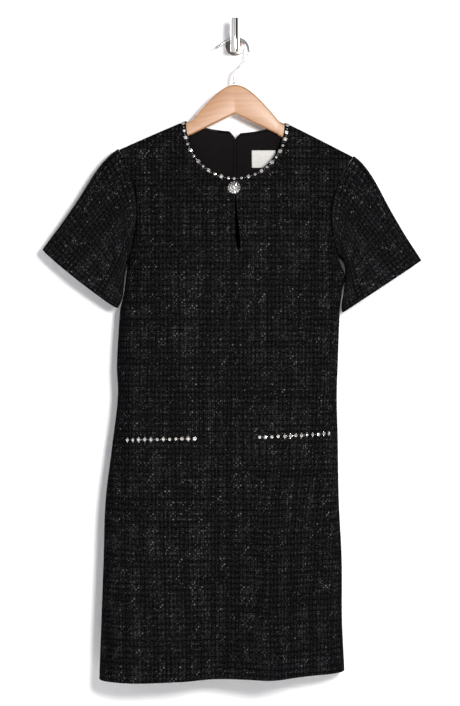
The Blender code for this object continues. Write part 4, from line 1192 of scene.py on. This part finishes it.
def hanger_top(x):
    hump = HANGER_TOP - HUMP_SLOPE * (math.hypot(x, HUMP_SOFTNESS) - HUMP_SOFTNESS)
    return max(hump, float(shoulder_height(x)) - ARM_CLEARANCE)


def hanger_bottom(x):
    if abs(x) < ARM_START:
        return HANGER_NOTCH - NOTCH_SLOPE * abs(x)
    return hanger_top(x) - ARM_HEIGHT


def skin(name, rings, its_material, replaced):
    """A smooth body through rings of points, capped at both ends."""
    body = bmesh.new()
    made_rings = [[body.verts.new(point) for point in ring] for ring in rings]
    for ring, following in zip(made_rings, made_rings[1:]):
        for k in range(len(ring)):
            after = (k + 1) % len(ring)
            body.faces.new((ring[k], ring[after], following[after], following[k]))
    body.faces.new(made_rings[0])
    body.faces.new(made_rings[-1])
    bmesh.ops.recalc_face_normals(body, faces=body.faces)
    mesh = bpy.data.meshes.new(name)
    body.to_mesh(mesh)
    body.free()
    mesh.materials.append(its_material)
    mesh.shade_smooth()
    mesh.set_sharp_from_angle(angle=math.radians(38))
    made = add_object(name, mesh)
    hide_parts(*replaced)
    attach(made, "dress")


def hanger_ring(x, share):
    top, bottom = hanger_top(x), hanger_bottom(x)
    middle, half_height = 0.5 * (top + bottom), 0.5 * (top - bottom) * share
    ring = []
    for quarter, (face, end) in enumerate(((1, 1), (-1, 1), (-1, -1), (1, -1))):
        for step in range(7):
            turn = math.radians(90 * quarter + 15 * step)
            y = HANG_Y + face * (HANGER_HALF_THICKNESS - HANGER_EDGE_ROUND)
            y += HANGER_EDGE_ROUND * math.cos(turn)
            z = middle + end * (half_height - HANGER_EDGE_ROUND) + HANGER_EDGE_ROUND * math.sin(turn)
            ring.append((x, y, z))
    return ring


stations = [-HANGER_HALF_SPAN + 2 * HANGER_HALF_SPAN * k / 180 for k in range(181)]
tips = [(ARM_END * math.sin(a), TIP_SHARE + (1 - TIP_SHARE) * math.cos(a)) for a in np.linspace(0.3, 1.5, 5)]
rings = [hanger_ring(-HANGER_HALF_SPAN - reach, share) for reach, share in reversed(tips)]
rings += [hanger_ring(x, 1.0) for x in stations]
rings += [hanger_ring(HANGER_HALF_SPAN + reach, share) for reach, share in tips]
skin("wooden_hanger", rings, WOOD, ["hanger"])

WIRE_ROUTE = (
    Corner(WIRE_X, HANGER_TOP - SHANK_DEPTH),
    Corner(WIRE_X, -0.0620),
    Corner(0.0005, -0.0475),
    Corner(0.0105, -0.0375),
    Corner(0.0195, -0.0270),
    Corner(0.0222, -0.0120),
    Corner(0.0160, 0.0020),
    Corner(0.0000, STEM_RADIUS + WIRE_RADIUS + GAP),
    Corner(-0.0140, 0.0035),
    Corner(-0.0240, -0.0040),
    Corner(-0.0325, -0.0090),
)


def direction_at(path, k):
    return (path[min(k + 1, len(path) - 1)] - path[max(k - 1, 0)]).normalized()


def tube_rings(path, radii, sides):
    rings = []
    aside = Vector((0, 1, 0))
    for k, (point, radius) in enumerate(zip(path, radii)):
        up = direction_at(path, k).cross(aside).normalized()
        rings.append([point + aside * radius * math.cos(a) + up * radius * math.sin(a)
                      for a in (2 * math.pi * i / sides for i in range(sides))])
    return rings


path = []
for k in range(len(WIRE_ROUTE) - 1):
    around = [WIRE_ROUTE[min(max(k + step, 0), len(WIRE_ROUTE) - 1)] for step in (-1, 0, 1, 2)]
    for step in range(10):
        t = step / 10
        path.append(Vector((catmull_rom(*(corner.x for corner in around), t), HANG_Y,
                            catmull_rom(*(corner.z for corner in around), t))))
path.append(Vector((WIRE_ROUTE[-1].x, HANG_Y, WIRE_ROUTE[-1].z)))
radii = [WIRE_RADIUS] * (len(path) - 3) + [WIRE_RADIUS * 0.96, WIRE_RADIUS * 0.8, WIRE_RADIUS * 0.45]
skin("wire_hook", tube_rings(path, radii, 20), WIRE, ["hanger_hook"])


def turned_rings(profile, sides, place):
    return [[place @ Vector((radius * math.cos(a), radius * math.sin(a), height))
             for a in (2 * math.pi * k / sides for k in range(sides))] for radius, height in profile]


def rounded(radius, length, edge):
    """Profile of a rod with rounded ends."""
    turns = np.linspace(0, math.pi / 2, 4)
    low = [(radius - edge + edge * math.sin(a), edge - edge * math.cos(a)) for a in turns]
    high = [(radius - edge + edge * math.cos(a), length - edge + edge * math.sin(a)) for a in turns]
    return low + high


FLANGE_EDGE, BAR_EDGE = 0.0012, 0.0008
from_wall = Matrix.Rotation(math.radians(90), 4, "X")
upright = Matrix.Translation((0, BAR_Y, BAR_BOTTOM))
flange_profile = rounded(FLANGE_RADIUS, FLANGE_THICKNESS, FLANGE_EDGE)
bar_profile = rounded(BAR_RADIUS, BAR_TOP - BAR_BOTTOM, BAR_EDGE)
stem_profile = [(STEM_RADIUS, FLANGE_THICKNESS + GAP), (STEM_RADIUS, abs(BAR_Y) - 0.5 * BAR_RADIUS)]
# The flange takes the darkened chrome, whose dark tint is painted reflection.
skin("flange", turned_rings(flange_profile, 64, from_wall), SHADED_CHROME, ["wall_flange"])
skin("upright_bar", turned_rings(bar_profile, 48, upright), CHROME, ["wall_bar"])
skin("stem", turned_rings(stem_profile, 40, from_wall), CHROME, ["wall_bar"])

# ---------------------------------------------------------------- zip slider

(_, low_y, low_z), (_, high_y, _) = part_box("zip_slider")
SLIDER_PLATE, SLIDER_CENTRE_Z = 0.0014, -0.1600
SliderSection = namedtuple("SliderSection", "z x half_width thickness_share")
SLIDER_SECTIONS = (          # the plate narrows into a nose that shows in the notch of the back neck
    SliderSection(low_z, 0.0000, 0.0028, 0.70),
    SliderSection(low_z + 0.0008, 0.0000, 0.0035, 0.90),
    SliderSection(low_z + 0.0026, 0.0000, 0.0039, 1.00),
    SliderSection(SLIDER_CENTRE_Z, 0.0000, 0.0036, 1.00),
    SliderSection(-0.1575, 0.0006, 0.0036, 1.00),
    SliderSection(-0.1555, 0.0022, 0.0026, 1.00),
    SliderSection(-0.1535, 0.0032, 0.0016, 1.00),
    SliderSection(-0.1512, 0.0034, 0.0014, 0.90),
    SliderSection(-0.1500, 0.0034, 0.0009, 0.60),
)
SLIDER_SQUARENESS = 0.5


def squared(turn):
    return (math.copysign(abs(part) ** SLIDER_SQUARENESS, part) for part in (math.cos(turn), math.sin(turn)))


rings = []
for row in SLIDER_SECTIONS:
    ring = []
    for k in range(24):
        across_x, across_y = squared(2 * math.pi * (k + 0.5) / 24)
        ring.append((row.x + across_x * row.half_width,
                     low_y + SLIDER_PLATE / 2 * (1 + across_y * row.thickness_share), row.z))
    rings.append(ring)
skin("slider_plate", rings, ZIP_METAL, ["zip_slider"])

CROWN_WIDTH, CROWN_THICKNESS, CROWN_REACH, CROWN_SINK = 0.0024, 0.0009, 0.0026, 0.0004
crown_height = high_y - low_y - SLIDER_PLATE - CROWN_THICKNESS / 2 + CROWN_SINK
arch = []
for k in range(25):
    across_z, across_y = squared(math.pi * k / 24)
    arch.append(Vector((0, low_y + SLIDER_PLATE - CROWN_SINK + crown_height * across_y,
                        SLIDER_CENTRE_Z + (CROWN_REACH - CROWN_THICKNESS / 2) * across_z)))
rings = []
for k, point in enumerate(arch):
    outward = Vector((1, 0, 0)).cross(direction_at(arch, k))
    ring = []
    for i in range(16):
        across_x, across_strap = squared(2 * math.pi * (i + 0.5) / 16)
        sideways = Vector((across_x * CROWN_WIDTH / 2, 0, 0))
        ring.append(point + sideways + outward * across_strap * CROWN_THICKNESS / 2)
    rings.append(ring)
skin("slider_crown", rings, ZIP_METAL, ["zip_slider"])

# ---------------------------------------------------------------- carried-over solids

for name, its_material in (("zip_pull", ZIP_METAL), ("zip_tape", TAPE)):
    nodes[name].data.materials.clear()
    nodes[name].data.materials.append(its_material)

# ---------------------------------------------------------------- camera, light and room

PLANE_HEIGHT = 1.1487                       # what the camera takes in at the hanger's plane
CAMERA_X, CAMERA_Z, CAMERA_AWAY = -0.0081, -0.5044, 3.96
SENSOR = 36.0                               # millimetres
camera = add_object("camera", bpy.data.cameras.new("camera"))
camera.location = (CAMERA_X, HANG_Y - CAMERA_AWAY, CAMERA_Z)
camera.rotation_euler = (math.radians(90), 0, 0)
camera.data.sensor_width = SENSOR
camera.data.lens = SENSOR * CAMERA_AWAY / PLANE_HEIGHT
bpy.context.scene.camera = camera


def soft_light(name, place, target, size, power, colour=(1, 1, 1)):
    data = bpy.data.lights.new(name, "AREA")
    data.shape, data.size, data.energy, data.color = "DISK", size, power, colour
    made = add_object(name, data)
    made.location = place
    made.rotation_euler = (Vector(target) - Vector(place)).to_track_quat("-Z", "Y").to_euler()
    made.visible_camera = False


CENTRE = (0.0, -0.05, -0.50)
soft_light("key", (0.66, -3.05, -0.02), CENTRE, 0.56, 100, (1.0, 0.99, 0.98))
soft_light("fill", (-2.2, -2.6, 0.2), CENTRE, 2.4, 8, (0.94, 0.96, 1.0))
soft_light("behind", (-1.0, 2.6, 0.6), CENTRE, 1.8, 60)
soft_light("behind_right", (2.2, 1.8, 0.2), CENTRE, 1.6, 30)

world = bpy.data.worlds.new("studio")
bpy.context.scene.world = world
world.use_nodes = True
tree = world.node_tree
background = tree.nodes["Background"]
background.inputs["Strength"].default_value = 1.0
rays = tree.nodes.new("ShaderNodeLightPath")
direction = tree.nodes.new("ShaderNodeTexCoord")
heading = tree.nodes.new("ShaderNodeSeparateXYZ")
tree.links.new(direction.outputs["Generated"], heading.inputs[0])


def world_math(operation, a, b=0.0):
    made = tree.nodes.new("ShaderNodeMath")
    made.operation = operation
    for value, socket in zip((a, b), made.inputs):
        if isinstance(value, float):
            socket.default_value = value
        else:
            tree.links.new(value, socket)
    return made.outputs[0]


def world_mix(factor, a, b):
    mix = tree.nodes.new("ShaderNodeMix")
    mix.data_type = "RGBA"
    tree.links.new(factor, mix.inputs[0])
    for value, socket in ((a, mix.inputs[6]), (b, mix.inputs[7])):
        if isinstance(value, tuple):
            socket.default_value = value
        else:
            tree.links.new(value, socket)
    return mix.outputs[2]


# What the metal mirrors, by compass turn from straight out of the wall: soft boxes, a dark room between.
towards_front = world_math("MULTIPLY", heading.outputs[1], -1.0)
turn = world_math("ARCTAN2", heading.outputs[0], towards_front)
turn_share = world_math("ADD", world_math("MULTIPLY", turn, 0.5 / math.pi), 0.5)
boxes = tree.nodes.new("ShaderNodeValToRGB")
tree.links.new(turn_share, boxes.inputs[0])
Stop = namedtuple("Stop", "degrees colour")
STOPS = (
    Stop(-180, (0.75, 0.75, 0.75, 1)),
    Stop(-70, (0.62, 0.61, 0.60, 1)),
    Stop(-34, (0.50, 0.48, 0.46, 1)),
    Stop(-29, (0.05, 0.045, 0.04, 1)),
    Stop(-17, (0.06, 0.05, 0.045, 1)),
    Stop(-12, (1.0, 0.99, 0.97, 1)),
    Stop(16, (1.0, 0.99, 0.97, 1)),
    Stop(22, (0.04, 0.03, 0.025, 1)),
    Stop(66, (0.05, 0.035, 0.03, 1)),
    Stop(76, (0.72, 0.70, 0.68, 1)),
    Stop(180, (0.75, 0.75, 0.75, 1)),
)
while len(boxes.color_ramp.elements) < len(STOPS):
    boxes.color_ramp.elements.new(0.5)
for element, stop in zip(boxes.color_ramp.elements, STOPS):
    element.position = stop.degrees / 360 + 0.5
    element.color = stop.colour
steep = world_math("GREATER_THAN", world_math("ABSOLUTE", heading.outputs[2]), 0.55)
mirrored = world_mix(steep, boxes.outputs[0], (0.16, 0.15, 0.15, 1))
lit = world_mix(rays.outputs["Is Glossy Ray"], (0.385, 0.385, 0.40, 1), mirrored)
seen = world_mix(rays.outputs["Is Camera Ray"], lit, (0.96, 0.96, 0.965, 1))
tree.links.new(seen, background.inputs["Color"])


def room_material(name, colour, one_sided):
    """Matt white. One-sided, it shows only to a camera in front of it, so the back of the dress can be seen:
    Light Path's Is Camera Ray and Geometry's Backfacing let every other ray through. Only the stage uses it."""
    made = bpy.data.materials.new(name)
    made.use_nodes = True
    made_tree = made.node_tree
    shader = made_tree.nodes["Principled BSDF"]
    shader.inputs["Base Color"].default_value = colour
    shader.inputs["Roughness"].default_value = 0.9
    shader.inputs["Specular IOR Level"].default_value = 0.0
    if one_sided:
        output = made_tree.nodes["Material Output"]
        path_node = made_tree.nodes.new("ShaderNodeLightPath")
        facing = made_tree.nodes.new("ShaderNodeNewGeometry")
        in_front = made_tree.nodes.new("ShaderNodeMath")
        in_front.operation = "SUBTRACT"
        in_front.inputs[0].default_value = 1.0
        made_tree.links.new(facing.outputs["Backfacing"], in_front.inputs[1])
        shown = made_tree.nodes.new("ShaderNodeMath")
        shown.operation = "MULTIPLY"
        made_tree.links.new(in_front.outputs[0], shown.inputs[0])
        made_tree.links.new(path_node.outputs["Is Camera Ray"], shown.inputs[1])
        clear = made_tree.nodes.new("ShaderNodeBsdfTransparent")
        mix = made_tree.nodes.new("ShaderNodeMixShader")
        made_tree.links.new(shown.outputs[0], mix.inputs[0])
        made_tree.links.new(clear.outputs[0], mix.inputs[1])
        made_tree.links.new(shader.outputs[0], mix.inputs[2])
        made_tree.links.new(mix.outputs[0], output.inputs["Surface"])
    return made


def plane(name, corners, its_material):
    mesh = bpy.data.meshes.new(name)
    mesh.from_pydata(corners, [], [(0, 1, 2, 3)])
    mesh.materials.append(its_material)
    made = add_object(name, mesh)
    return made


FLOOR_Z = -1.60
plane("wall", [(-3, 0.0006, FLOOR_Z), (3, 0.0006, FLOOR_Z), (3, 0.0006, 1.6), (-3, 0.0006, 1.6)],
      room_material("wall_white", (0.92, 0.92, 0.925, 1), True))
plane("floor", [(-6, -6, FLOOR_Z), (6, -6, FLOOR_Z), (6, 6, FLOOR_Z), (-6, 6, FLOOR_Z)],
      room_material("floor_white", (0.90, 0.90, 0.90, 1), False))

bpy.context.scene.view_settings.view_transform = "Standard"
bpy.context.scene.view_settings.look = "None"
